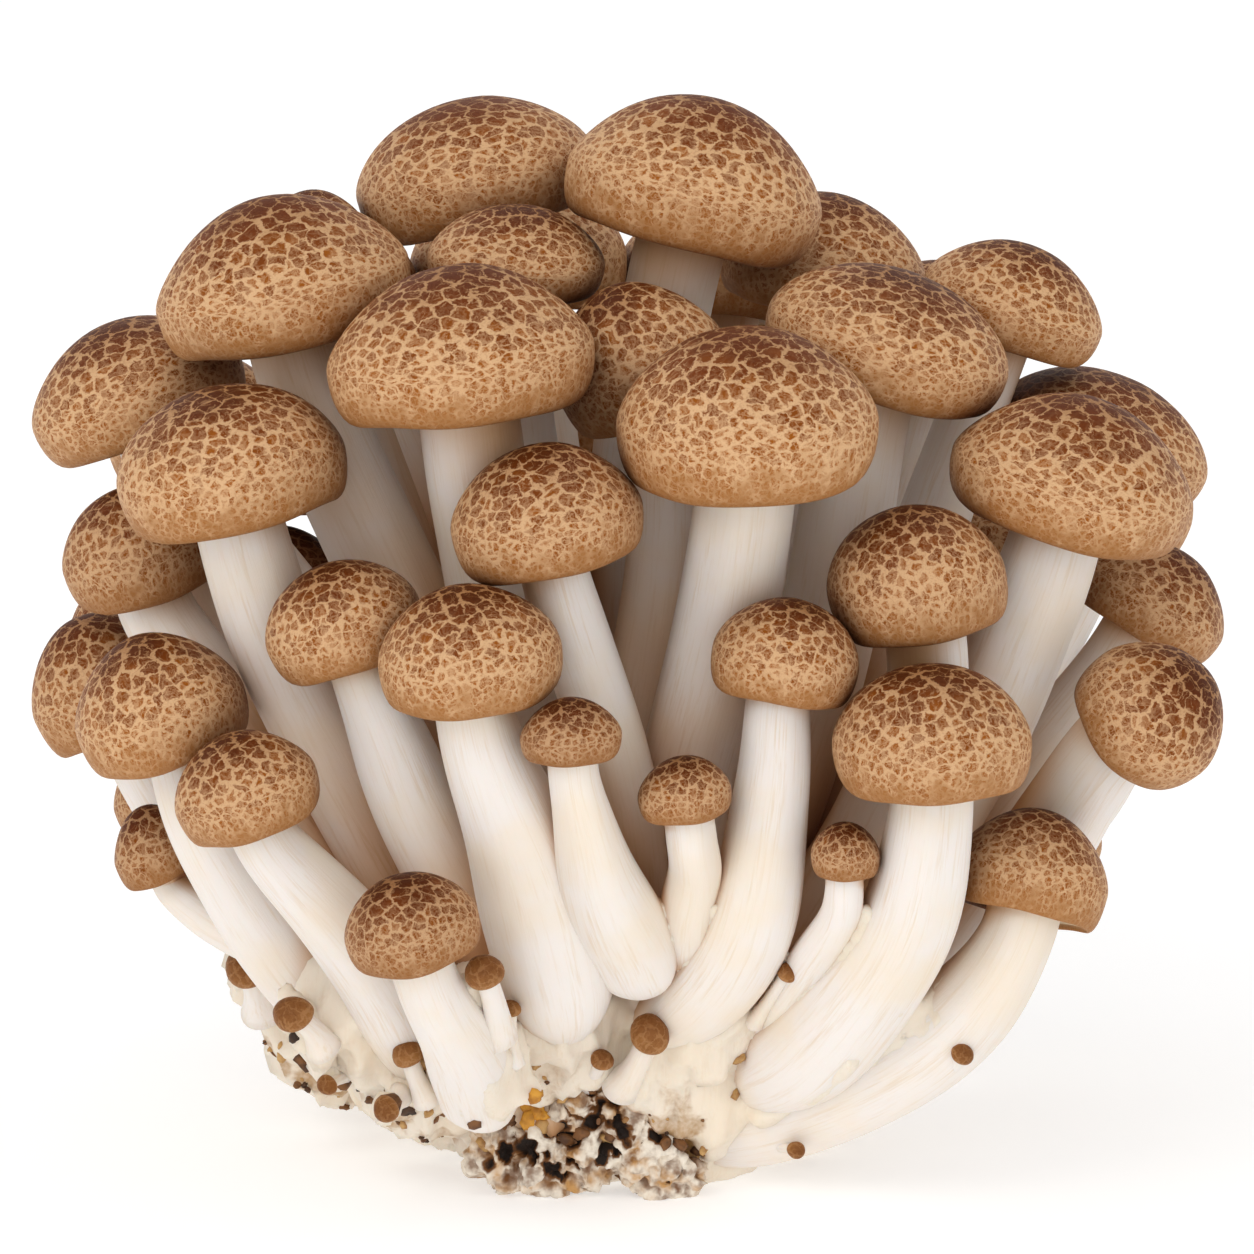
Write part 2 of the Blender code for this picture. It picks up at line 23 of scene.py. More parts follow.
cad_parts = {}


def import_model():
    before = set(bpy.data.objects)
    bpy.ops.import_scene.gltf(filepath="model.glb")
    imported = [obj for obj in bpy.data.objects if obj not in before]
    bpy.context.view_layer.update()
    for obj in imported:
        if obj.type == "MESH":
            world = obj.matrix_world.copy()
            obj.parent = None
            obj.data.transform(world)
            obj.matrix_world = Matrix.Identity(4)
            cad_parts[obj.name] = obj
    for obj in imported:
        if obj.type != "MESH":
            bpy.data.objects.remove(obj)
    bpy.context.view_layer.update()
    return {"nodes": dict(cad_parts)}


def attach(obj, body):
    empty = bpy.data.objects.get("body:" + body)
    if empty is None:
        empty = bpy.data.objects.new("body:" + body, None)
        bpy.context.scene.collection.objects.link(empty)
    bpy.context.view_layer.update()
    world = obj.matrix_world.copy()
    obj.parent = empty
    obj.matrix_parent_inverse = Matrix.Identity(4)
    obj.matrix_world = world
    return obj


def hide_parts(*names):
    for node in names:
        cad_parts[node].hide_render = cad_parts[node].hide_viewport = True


Array = np.ndarray
Piece = bpy.types.Object
Mesh = bpy.types.Mesh
Material = bpy.types.Material
Socket = bpy.types.NodeSocket
Tree = bpy.types.NodeTree

LOG = logging.getLogger("mushroom_cluster")
MM = 0.001
BODY = "root"

# The front view, in which the rows below are written: (across, up) from the root's middle, and the depth
VIEW_ELEVATION = math.radians(10)
VIEW_DISTANCE = 700.0
VIEW_MIDDLE = (-1.3, 52.3)
VIEW_WIDTH = 125.4

# How a solid cap sits on its stem: the height of its seat as a share of the cap's, and the gap below it
SEAT_HEIGHT = 0.16
GAP = 0.3

# Where rays from all round aim, and a distance that is outside the cluster
ROOT_MIDDLE = (-6.0, 3.0)
CLEAR_OUTSIDE = 100.0


class StemRow(NamedTuple):
    """One stem: it runs from the foot past the bend, both (across, up, depth), and is (neck, belly) thick."""

    foot: tuple[float, float, float]
    bend: tuple[float, float, float]
    thick: tuple[float, float]


# In the order of the caps, cap_01 first
STEM_ROWS = tuple(StemRow(*row) for row in (
    # Crown of the cluster, in front
    ((-4, 24, 6), (-12, 62, 12), (9.0, 10.0)), ((0, 24, 2), (0.5, 70, 12), (8.8, 9.5)),
    ((-8, 24, 8), (-24, 60, 14), (6.0, 7.0)), ((-10, 22, -4), (-24.5, 56, -6), (8.6, 10.0)),
    ((-5, 22, -3), (-11, 58, -1), (7.0, 8.0)), ((4, 24, 6), (14, 58, 12), (8.0, 9.0)),
    ((10, 22, 2), (27, 56, 3), (6.6, 8.0)),
    # Upper shoulder
    ((8, 20, -6), (19.8, 58, -7), (8.6, 9.4)), ((-5, 20, -8), (-14, 52, -11), (9.6, 9.0)),
    ((0, 22, -6), (1.5, 52, -5), (7.5, 8.0)), ((4, 22, -12), (6.6, 46, -18.5), (9.6, 9.8)),
    ((-20, 22, -2), (-40, 50, 7), (7.5, 9.0)), ((-17, 18, -12), (-32.3, 43, -15), (8.5, 10.0)),
    ((14, 12, -8), (35.5, 46, -13), (9.0, 10.0)), ((14, 20, 4), (34, 46, 9), (7.6, 9.0)),
    # Middle
    ((-0.5, 18, -18), (-4.2, 45, -26), (6.4, 7.2)), ((12, 16, -10), (26, 38, -16), (7.6, 8.5)),
    ((-22, 16, -8), (-38, 40, -8), (7.5, 8.5)), ((12, 14, 0), (38, 36, 1), (7.0, 9.0)),
    ((-13, 16, -18), (-23.8, 38, -25), (5.8, 9.0)), ((-7.8, 13.0, -24), (-12, 30, -34), (7.2, 11.5)),
    ((1, 12, -20), (12.4, 29, -31), (6.3, 9.0)),
    # Lower shoulder
    ((-26, 14, -2), (-42, 28, 2), (6.5, 8.0)), ((-26, 10, -12), (-41.3, 28, -20), (5.6, 8.8)),
    ((14, 8, -4), (38, 26, -9), (8.0, 10.0)), ((11, 7, -17), (25.3, 20.5, -31), (7.8, 10.5)),
    ((0.5, 17, -26), (-3.6, 27, -36), (4.6, 8.4)), ((-22, 8, -20), (-31, 24, -30), (6.2, 8.5)),
    ((3.5, 17, -24), (5.2, 25.5, -32), (4.6, 5.5)),
    # Lowest
    ((-30, 16, -10), (-41.5, 22.5, -12), (3.6, 4.5)), ((12, 12, -22), (18.6, 21, -31), (3.6, 4.6)),
    ((3, 3, -10), (27.6, 10.4, -22), (7.2, 11.0)), ((-16.1, 3.7, -24), (-17.9, 10.5, -34), (5.8, 7.9)),
    # Crown, behind
    ((-4, 24, 10), (-9, 58, 18), (8.5, 9.5)), ((2, 24, 10), (6, 58, 18), (8.0, 9.0)),
    ((8, 22, 10), (22, 54, 18), (7.5, 9.0)), ((-16, 20, 8), (-32, 50, 17), (7.5, 8.5)),
    ((-10, 22, 10), (-18, 54, 18), (6.8, 8.0)),
    # Shoulder
    ((-10, 20, 12), (-22, 48, 26), (7.5, 9.0)), ((-2, 20, 14), (-4, 46, 32), (8.5, 10.0)),
    ((6, 20, 12), (14, 46, 30), (7.5, 8.5)), ((16, 18, 8), (36, 44, 20), (7.0, 8.5)),
    ((12, 18, 12), (28, 40, 30), (7.0, 8.5)),
    # Middle
    ((-20, 17, 9), (-38, 37, 18), (7.0, 8.5)), ((-16, 17, 14), (-28, 38, 28), (7.0, 8.5)),
    ((-8, 14, 18), (-14, 34, 38), (6.4, 9.0)), ((2, 14, 18), (4, 34, 40), (6.2, 9.0)),
    ((7, 16, 15), (16, 34, 36), (6.2, 8.0)), ((16, 12, 10), (36, 27, 20), (6.8, 9.0)),
    # Lowest
    ((-16, 10, 20), (-23, 22, 38), (5.8, 7.8)), ((-20, 12, 12), (-37, 25, 22), (6.0, 8.0)),
    ((-5, 9, 22), (-7, 20, 41), (5.4, 7.6)), ((5, 9, 20), (10, 20, 41), (5.6, 8.0)),
    ((12, 10, 18), (22, 24, 37), (5.6, 7.6)), ((14, 8, 16), (31, 18, 31), (4.8, 7.2)),
))

# Buds that the front view shows: the head's (across, up) and radius, and the foot's (across, up)
FRONT_BUDS = (
    ((-43.0, 23.8), 1.6, (-42.2, 17.7)), ((-39.0, 18.4), 2.4, (-37.6, 14.1)),
    ((-34.7, 13.5), 1.9, (-31.8, 10.3)), ((-15.6, 17.7), 1.8, (-14.2, 10.8)),
    ((-12.9, 14.0), 1.0, (-12.4, 8.4)), ((-23.2, 9.5), 1.5, (-21.2, 4.9)),
    ((-3.8, 9.0), 1.1, (-5.7, 5.5)), ((0.9, 11.5), 2.0, (-2.1, 6.1)), ((14.7, 17.7), 1.0, (11.1, 12.3)),
    ((32.2, 9.6), 1.1, (29.8, 7.2)), ((15.6, 0.0), 0.9, (13.9, 0.6)), ((-31.3, 6.5), 1.0, (-29.8, 7.6)),
    ((-25.4, 4.1), 1.3, (-24.0, 5.4)),
)

# Little stalks fused with the root in front: (across, up) of the foot and the top, and a radius for each
FRONT_STALKS = (
    ((-9.6, 6.0), (-10.3, 11.8), (1.3, 0.5)), ((-7.4, 6.6), (-7.8, 12.4), (1.5, 0.9)),
    ((-5.2, 7.4), (-5.0, 13.4), (1.3, 0.9)), ((-3.2, 9.4), (-2.8, 14.8), (1.2, 0.8)),
    ((-11.8, 5.6), (-12.4, 12.0), (1.9, 0.7)),
    ((-0.6, 6.6), (1.4, 12.0), (1.6, 1.1)), ((3.6, 8.0), (5.4, 12.6), (1.5, 0.9)),
    ((6.4, 8.6), (9.6, 13.2), (1.5, 1.0)), ((-20.8, 5.0), (-22.6, 10.4), (1.6, 0.8)),
    ((-26.4, 7.4), (-29.6, 12.0), (1.7, 0.9)), ((-31.6, 10.0), (-35.4, 15.6), (1.5, 0.8)),
    ((16.8, 5.8), (21.0, 9.0), (1.8, 1.1)), ((12.0, 3.6), (16.4, 5.6), (1.7, 1.0)),
)


def from_view(across: float, up: float, depth: float) -> Array:
    """Find the point that the front view shows at a place, at a depth behind the root's middle.

    Args:
        across: Millimetres to the right of the root's middle.
        up: Millimetres above it, as the view shows them.
        depth: Millimetres behind it.

    Returns:
        The point in millimetres.
    """
    sine, cosine = math.sin(VIEW_ELEVATION), math.cos(VIEW_ELEVATION)
    rise = up - VIEW_MIDDLE[1]
    z = (up + depth * (rise * cosine / VIEW_DISTANCE - sine)) / (cosine + rise * sine / VIEW_DISTANCE)
    scale = 1 + (depth * cosine - z * sine) / VIEW_DISTANCE
    return np.array([VIEW_MIDDLE[0] + (across - VIEW_MIDDLE[0]) * scale, depth, z])


def across_axis(axis: Array) -> tuple[Array, Array]:
    """Find two unit directions across an axis.

    Args:
        axis: A unit direction.

    Returns:
        Two directions that make a right-handed set with the axis, in the order first, second, axis.
    """
    first = np.cross([0.0, 1.0, 0.0], axis)
    first /= np.linalg.norm(first)
    return first, np.cross(axis, first)


def smooth_step(values: Array, low: float, high: float) -> Array:
    """Rise softly from 0 at low to 1 at high."""
    share = np.clip((values - low) / (high - low), 0.0, 1.0)
    return share * share * (3 - 2 * share)


def noise_values(points: Array, size: float, seed: float, octaves: int = 3) -> Array:
    """Read layered noise at many points.

    Args:
        points: Rows of places in millimetres.
        size: Width of the largest swells in millimetres.
        seed: Shift that makes one field differ from another.
        octaves: How many layers, each half as wide as the last.

    Returns:
        One value for each point, about -1 to 1.
    """
    placed = points / size + seed
    return np.array([noise.fractal(Vector(place), 0.9, 2.0, octaves) for place in placed])


class SolidCap(NamedTuple):
    """A solid cap as measured: its seat's middle, its axis, its radius and its height."""

    seat: Array
    axis: Array
    radius: float
    height: float

    def foot(self) -> Array:
        """Find the point of the axis that is level with the rim."""
        return self.seat - self.axis * self.height * SEAT_HEIGHT


def solid_triangles(node: Piece) -> Array:
    """Read a solid's triangles.

    Args:
        node: The solid, with its place in its mesh.

    Returns:
        An array of (triangle, corner, coordinate) in millimetres.
    """
    mesh = node.data
    mesh.calc_loop_triangles()
    places = np.empty(len(mesh.vertices) * 3)
    mesh.vertices.foreach_get("co", places)
    corners = np.empty(len(mesh.loop_triangles) * 3, dtype=np.int32)
    mesh.loop_triangles.foreach_get("vertices", corners)
    return places.reshape(-1, 3)[corners].reshape(-1, 3, 3) / MM


def measured_cap(node: Piece) -> SolidCap:
    """Measure a solid cap from its seat, which is its largest flat face.

    Args:
        node: The solid, with its place in its mesh.

    Returns:
        The cap's seat, axis, radius and height.
    """
    corners = solid_triangles(node)
    crossed = np.cross(corners[:, 1] - corners[:, 0], corners[:, 2] - corners[:, 0])
    areas = np.linalg.norm(crossed, axis=1)
    kept = areas > areas.max() * 1e-6
    corners, crossed, areas = corners[kept], crossed[kept], areas[kept]
    normals = crossed / areas[:, None]
    offsets = np.einsum("ij,ij->i", normals, corners[:, 0])
    level = (normals @ normals.T > 0.9998) & (np.abs(offsets[:, None] - offsets) < 0.03)
    seat_faces = level[np.argmax(level @ areas)]
    shares = areas[seat_faces, None] / areas[seat_faces].sum()
    seat = (corners[seat_faces].mean(axis=1) * shares).sum(axis=0)
    axis = -(normals[seat_faces] * shares).sum(axis=0)
    axis /= np.linalg.norm(axis)
    away = corners.reshape(-1, 3) - seat
    along = away @ axis
    radius = np.linalg.norm(away - along[:, None] * axis, axis=1).max()
    return SolidCap(seat, axis, float(radius), float(along.max() - along.min()))


def solid_surface(nodes: dict[str, Piece]) -> BVHTree:
    """Gather all the frame's solids in one tree for rays.

    Args:
        nodes: The solids by their names.

    Returns:
        The tree, in millimetres.
    """
    corners = np.concatenate([solid_triangles(node) for node in nodes.values()]).reshape(-1, 3)
    faces = np.arange(len(corners)).reshape(-1, 3)
    return BVHTree.FromPolygons(corners.tolist(), faces.tolist())


class ShadeRays:
    """Tells how closed in a point of the surface is, by the share of short rays that meet the solids, for
    painted shade.
    """

    rays: int = 14
    reach: float = 36.0
    lift: float = 0.7
    smoothing: int = 12

    def __init__(self, solids: BVHTree) -> None:
        """Keep the solids and choose the rays' directions.

        Args:
            solids: The tree that the rays are cast against.
        """
        self.solids = solids
        golden = math.pi * (3 - math.sqrt(5))
        self.directions = []
        for step in range(self.rays):
            up = 1 - (step + 0.5) / self.rays * 0.9
            out = math.sqrt(1 - up * up)
            self.directions.append((out * math.cos(golden * step), out * math.sin(golden * step), up))

    def shares(self, points: Array, normals: Array) -> Array:
        """Find how closed in each point is.

        Args:
            points: Rows of places in millimetres.
            normals: The surface's unit normal at each.

        Returns:
            One share for each point: 0 in the open, 1 deep inside.
        """
        shares = np.zeros(len(points))
        for index, (point, normal) in enumerate(zip(points, normals)):
            turn = Vector(normal).to_track_quat("Z", "Y")
            start = Vector(point) + Vector(normal) * self.lift
            for direction in self.directions:
                hit, _, _, far = self.solids.ray_cast(start, turn @ Vector(direction), self.reach)
                if hit is not None:
                    shares[index] += 1 - 0.5 * far / self.reach
        return shares / self.rays

    def store(self, mesh: Mesh, share: float = 1.0) -> None:
        """Store the painted-shade attribute of a mesh: how closed in each point is, evened out between
        neighbouring points.

        Args:
            mesh: The mesh, with its points in place.
            share: How much of the value is stored.
        """
        values = self.shares(mesh_points(mesh), point_normals(mesh)) * share
        ends = np.empty(len(mesh.edges) * 2, dtype=np.int32)
        mesh.edges.foreach_get("vertices", ends)
        first, second = ends.reshape(-1, 2).T
        count = np.bincount(ends, minlength=len(values)) + 1.0
        for _ in range(self.smoothing):
            total = values.copy()
            total += np.bincount(first, values[second], len(values))
            total += np.bincount(second, values[first], len(values))
            values = total / count
        store_values(mesh, "painted_shade", values)


# Modelling by hand

def deselect() -> None:
    """Leave edit mode and deselect everything."""
    if bpy.context.object is not None and bpy.context.object.mode != "OBJECT":
        bpy.ops.object.mode_set(mode="OBJECT")
    bpy.ops.object.select_all(action="DESELECT")


def make_active(piece: Piece) -> None:
    """Select one piece alone and make it active."""
    deselect()
    piece.select_set(True)
    bpy.context.view_layer.objects.active = piece


def pick_points(piece: Piece, low: float, high: float) -> None:
    """Select the points of a piece in edit mode by their distance from its Z axis.

    Args:
        piece: The piece that is in edit mode.
        low: Least distance that is picked.
        high: Largest distance that is picked.
    """
    shape = bmesh.from_edit_mesh(piece.data)
    for point in shape.verts:
        point.select_set(low <= math.hypot(point.co.x, point.co.y) <= high)
    shape.select_flush_mode()
    bmesh.update_edit_mesh(piece.data)


def apply_modifiers(piece: Piece) -> None:
    """Apply all of a piece's modifiers, in their order."""
    make_active(piece)
    for name in [modifier.name for modifier in piece.modifiers]:
        bpy.ops.object.modifier_apply(modifier=name)


def shade_smooth(piece: Piece) -> None:
    """Shade a piece smooth all over."""
    make_active(piece)
    bpy.ops.object.shade_smooth()


def grow_together(piece: Piece, voxel: float, softening: int) -> None:
    """Melt a piece's parts into one skin.

    Args:
        piece: The piece.
        voxel: Size of the voxels in millimetres.
        softening: How many times the skin is softened.
    """
    remesh = piece.modifiers.new("grow_together", "REMESH")
    remesh.mode = "VOXEL"
    remesh.voxel_size = voxel * MM
    soften = piece.modifiers.new("soften", "SMOOTH")
    soften.factor = 0.5
    soften.iterations = softening
    apply_modifiers(piece)


def mesh_points(mesh: Mesh) -> Array:
    """Read a mesh's points as rows in millimetres."""
    places = np.empty(len(mesh.vertices) * 3)
    mesh.vertices.foreach_get("co", places)
    return places.reshape(-1, 3) / MM


def set_mesh_points(mesh: Mesh, points: Array) -> None:
    """Move a mesh's points to rows of places in millimetres."""
    mesh.vertices.foreach_set("co", (points * MM).ravel())
    mesh.update()


def point_normals(mesh: Mesh) -> Array:
    """Read the unit normals at a mesh's points."""
    normals = np.empty(len(mesh.vertices) * 3)
    mesh.vertex_normals.foreach_get("vector", normals)
    return normals.reshape(-1, 3)


def store_vectors(mesh: Mesh, name: str, rows: Array) -> None:
    """Store a vector at each point of a mesh, for its material to read.

    Args:
        mesh: The mesh.
        name: The attribute's name.
        rows: One row of three for each point.
    """
    attribute = mesh.attributes.new(name, "FLOAT_VECTOR", "POINT")
    attribute.data.foreach_set("vector", np.ascontiguousarray(rows, dtype=np.float32).ravel())


def store_values(mesh: Mesh, name: str, values: Array) -> None:
    """Store a number at each point of a mesh, for its material to read.

    Args:
        mesh: The mesh.
        name: The attribute's name.
        values: One number for each point.
    """
    attribute = mesh.attributes.new(name, "FLOAT", "POINT")
    attribute.data.foreach_set("value", np.ascontiguousarray(values, dtype=np.float32))


def merged_copy(solid: Piece, name: str) -> Piece:
    """Copy a solid with its loose triangles joined, to be modelled on.

    Args:
        solid: The frame's solid.
        name: The copy's name.

    Returns:
        The copy, shown and active.
    """
    piece = solid.copy()
    piece.data = solid.data.copy()
    piece.name = piece.data.name = name
    bpy.context.scene.collection.objects.link(piece)
    piece.hide_render = piece.hide_viewport = False
    make_active(piece)
    bpy.ops.object.mode_set(mode="EDIT")
    bpy.ops.mesh.select_all(action="SELECT")
    bpy.ops.mesh.remove_doubles(threshold=1e-7)
    bpy.ops.object.mode_set(mode="OBJECT")
    return piece


def surface_tree(*pieces: Piece) -> BVHTree:
    """Gather pieces' surfaces in one tree for rays.

    Args:
        *pieces: The pieces, each with its place in its mesh.

    Returns:
        The tree, in millimetres.
    """
    corners, faces, count = [], [], 0
    for piece in pieces:
        points = mesh_points(piece.data)
        corners.extend(points.tolist())
        faces.extend(tuple(corner + count for corner in face.vertices) for face in piece.data.polygons)
        count += len(points)
    return BVHTree.FromPolygons(corners, faces)


def view_hit(surface: BVHTree, across: float, up: float) -> Array | None:
    """Find the first point of a surface that the front view shows at a place.

    Args:
        surface: The surface.
        across: Millimetres to the right of the root's middle.
        up: Millimetres above it, as the view shows them.

    Returns:
        The point in millimetres, or nothing where the view looks past the surface.
    """
    near, far = from_view(across, up, -CLEAR_OUTSIDE), from_view(across, up, 0.0)
    hit, _, _, _ = surface.ray_cast(Vector(near), Vector(far - near).normalized())
    return None if hit is None else np.array(hit)


def level_hit(surface: BVHTree, turn: float, up: float) -> tuple[Array, Array] | None:
    """Find where a level ray from outside meets a surface.

    Args:
        surface: The surface.
        turn: Degrees that the ray's start is turned round the root's middle: 0 at the right, 90 at the back.
        up: The ray's height in millimetres.

    Returns:
        The point and the surface's normal there, or nothing where the ray misses.
    """
    out = np.array([math.cos(math.radians(turn)), math.sin(math.radians(turn)), 0.0])
    start = np.array([*ROOT_MIDDLE, up]) + out * CLEAR_OUTSIDE
    hit, normal, _, _ = surface.ray_cast(Vector(start), Vector(-out))
    return None if hit is None else (np.array(hit), np.array(normal))


class TurnedMaster:
    """A body turned round Z that is modelled once, ring by ring, and copied with new places for its points."""

    def __init__(self, name: str, outline: list[tuple[float, float]], sides: int) -> None:
        """Model the body.

        Args:
            name: The object's name while it is in use.
            outline: (out, up) shares from the top's pole on. The last ring is drawn together to close the body.
            sides: Number of points round a ring.
        """
        self.sides = sides
        self.outline = np.array(outline)
        (_, top), (first_out, first_up), *others = outline
        deselect()
        bpy.ops.mesh.primitive_circle_add(vertices=sides, radius=first_out, fill_type="TRIFAN")
        self.piece = bpy.context.object
        self.piece.name = name
        bpy.ops.object.mode_set(mode="EDIT")
        bpy.ops.transform.translate(value=(0.0, 0.0, first_up))
        pick_points(self.piece, 0.0, first_out / 2)
        bpy.ops.transform.translate(value=(0.0, 0.0, top - first_up))
        pick_points(self.piece, first_out / 2, first_out * 2)
        last_out, last_up = first_out, first_up
        for out, up in others:
            share = out / last_out
            bpy.ops.mesh.extrude_edges_move(TRANSFORM_OT_translate={"value": (0.0, 0.0, up - last_up)})
            bpy.ops.transform.resize(value=(share, share, 1.0), center_override=(0.0, 0.0, 0.0))
            last_out, last_up = out, up
        bpy.ops.mesh.merge(type="CENTER")
        bpy.ops.mesh.select_all(action="SELECT")
        bpy.ops.mesh.normals_make_consistent(inside=False)
        bpy.ops.object.mode_set(mode="OBJECT")
        shade_smooth(self.piece)
        places = mesh_points(self.piece.data) * MM
        reach = np.hypot(places[:, 0], places[:, 1])
        self.angle = np.arctan2(places[:, 1], places[:, 0])
        away = np.abs(reach[:, None] - self.outline[:, 0]) + np.abs(places[:, 2:] - self.outline[:, 1])
        self.ring = np.argmin(away, axis=1)
        on_axis = reach < 1e-6
        self.ring[on_axis & (self.ring > 0)] = len(outline) - 1
        self.out = np.where(on_axis, 0.0, self.outline[self.ring, 0])

    def copy(self, name: str, points: Array) -> Piece:
        """Copy the body with its own mesh.

        Args:
            name: The copy's name.
            points: New places of the body's points in millimetres.

        Returns:
            The copy, in the scene.
        """
        made = self.piece.copy()
        made.data = self.piece.data.copy()
        made.name = made.data.name = name
        bpy.context.scene.collection.objects.link(made)
        set_mesh_points(made.data, points)
        return made

    def paint(self, first: Material, second: Material, ring: int) -> None:
        """Give the body two materials.

        Args:
            first: The material of the faces above the ring.
            second: The material of the faces below it.
            ring: The ring between them, counted from the top.
        """
        set_materials(self.piece, first, second)
        for face in self.piece.data.polygons:
            face.material_index = int(all(self.ring[corner] >= ring for corner in face.vertices))

    def remove(self) -> None:
        """Take the master itself out of the scene."""
        bpy.data.objects.remove(self.piece)


# Finishes

def colour(code: str) -> tuple[float, float, float, float]:
    """Turn a six-digit screen colour, such as #8A5527, into the linear colour that a shader takes."""
    shares = (int(code[start:start + 2], 16) / 255 for start in (1, 3, 5))
    return (*(share / 12.92 if share < 0.04045 else ((share + 0.055) / 1.055) ** 2.4 for share in shares), 1.0)


def place(tree: Tree, kind: str, sockets: dict | None = None, **settings: object) -> bpy.types.Node:
    """Add a node and wire it.

    Args:
        tree: The material's or the group's tree.
        kind: The node's type.
        sockets: Its inputs by name or number, each with a value or with the socket that feeds it.
        **settings: The node's own settings.

    Returns:
        The node.
    """
    node = tree.nodes.new(kind)
    for name, value in settings.items():
        setattr(node, name, value)
    set_inputs(tree, node, sockets or {})
    return node


def worked(tree: Tree, operation: str, first: Socket | float, second: Socket | float = 0.0) -> Socket:
    """Combine two numbers with a Math node."""
    return place(tree, "ShaderNodeMath", {0: first, 1: second}, operation=operation).outputs[0]


def added(tree: Tree, first: Socket | float, second: Socket | float) -> Socket:
    """Add two numbers."""
    return worked(tree, "ADD", first, second)


def less(tree: Tree, first: Socket | float, second: Socket | float) -> Socket:
    """Take the second number from the first."""
    return worked(tree, "SUBTRACT", first, second)


def times(tree: Tree, first: Socket | float, second: Socket | float) -> Socket:
    """Multiply two numbers."""
    return worked(tree, "MULTIPLY", first, second)


def moved(tree: Tree, vector: Socket, shift: Socket | tuple[float, float, float]) -> Socket:
    """Add a second vector to a vector."""
    return place(tree, "ShaderNodeVectorMath", {0: vector, 1: shift}, operation="ADD").outputs[0]


def stretched(tree: Tree, vector: Socket, scale: tuple[float, float, float]) -> Socket:
    """Scale a vector by a number for each axis."""
    return place(tree, "ShaderNodeVectorMath", {0: vector, 1: scale}, operation="MULTIPLY").outputs[0]


def ramp(tree: Tree, value: Socket, low: Socket | float, high: Socket | float, top: float = 1.0) -> Socket:
    """Rise softly from 0, where the value is low, to the top, where it is high."""
    sockets = {"Value": value, "From Min": low, "From Max": high, "To Min": 0.0, "To Max": top}
    return place(tree, "ShaderNodeMapRange", sockets, interpolation_type="SMOOTHSTEP").outputs[0]


def mixed(tree: Tree, share: Socket | float, first: Socket | tuple, second: Socket | str,
          way: str = "MIX") -> Socket:
    """Mix two colours by a share of the second, which may be a screen colour's code."""
    sockets = {0: share, 6: first, 7: colour(second) if isinstance(second, str) else second}
    return place(tree, "ShaderNodeMix", sockets, data_type="RGBA", blend_type=way).outputs[2]


def read(tree: Tree, name: str, output: str = "Vector") -> Socket:
    """Read an attribute that the mesh stores."""
    return place(tree, "ShaderNodeAttribute", attribute_name=name).outputs[output]


def noise_field(tree: Tree, vector: Socket, scale: float, detail: float = 3.0, output: str = "Fac") -> Socket:
    """Read a noise texture."""
    sockets = {"Vector": vector, "Scale": scale, "Detail": detail, "Roughness": 0.6}
    return place(tree, "ShaderNodeTexNoise", sockets).outputs[output]


def swayed(tree: Tree, vector: Socket, by: Socket, scale: float, reach: tuple[float, float, float]) -> Socket:
    """Bend a pattern to and fro by noise.

    Args:
        tree: The material's or the group's tree.
        vector: The pattern's vector.
        by: The vector that the noise reads.
        scale: The noise's scale.
        reach: How far the pattern moves along each axis.

    Returns:
        The bent vector.
    """
    sway = moved(tree, noise_field(tree, by, scale, output="Color"), (-0.5, -0.5, -0.5))
    return moved(tree, vector, stretched(tree, sway, reach))


def new_group(name: str, inputs: dict[str, object], outputs: dict[str, str]) -> tuple[Tree, object, object]:
    """Start a shader group.

    Args:
        name: The group's name.
        inputs: Each input's name and default. A tuple makes a vector and a number makes a value.
        outputs: Each output's name and kind of socket.

    Returns:
        The group's tree, its input node and its output node.
    """
    tree = bpy.data.node_groups.new(name, "ShaderNodeTree")
    for label, default in inputs.items():
        kind = "NodeSocketVector" if isinstance(default, tuple) else "NodeSocketFloat"
        socket = tree.interface.new_socket(name=label, in_out="INPUT", socket_type=kind)
        socket.default_value = default
    for label, kind in outputs.items():
        tree.interface.new_socket(name=label, in_out="OUTPUT", socket_type=kind)
    return tree, tree.nodes.new("NodeGroupInput"), tree.nodes.new("NodeGroupOutput")


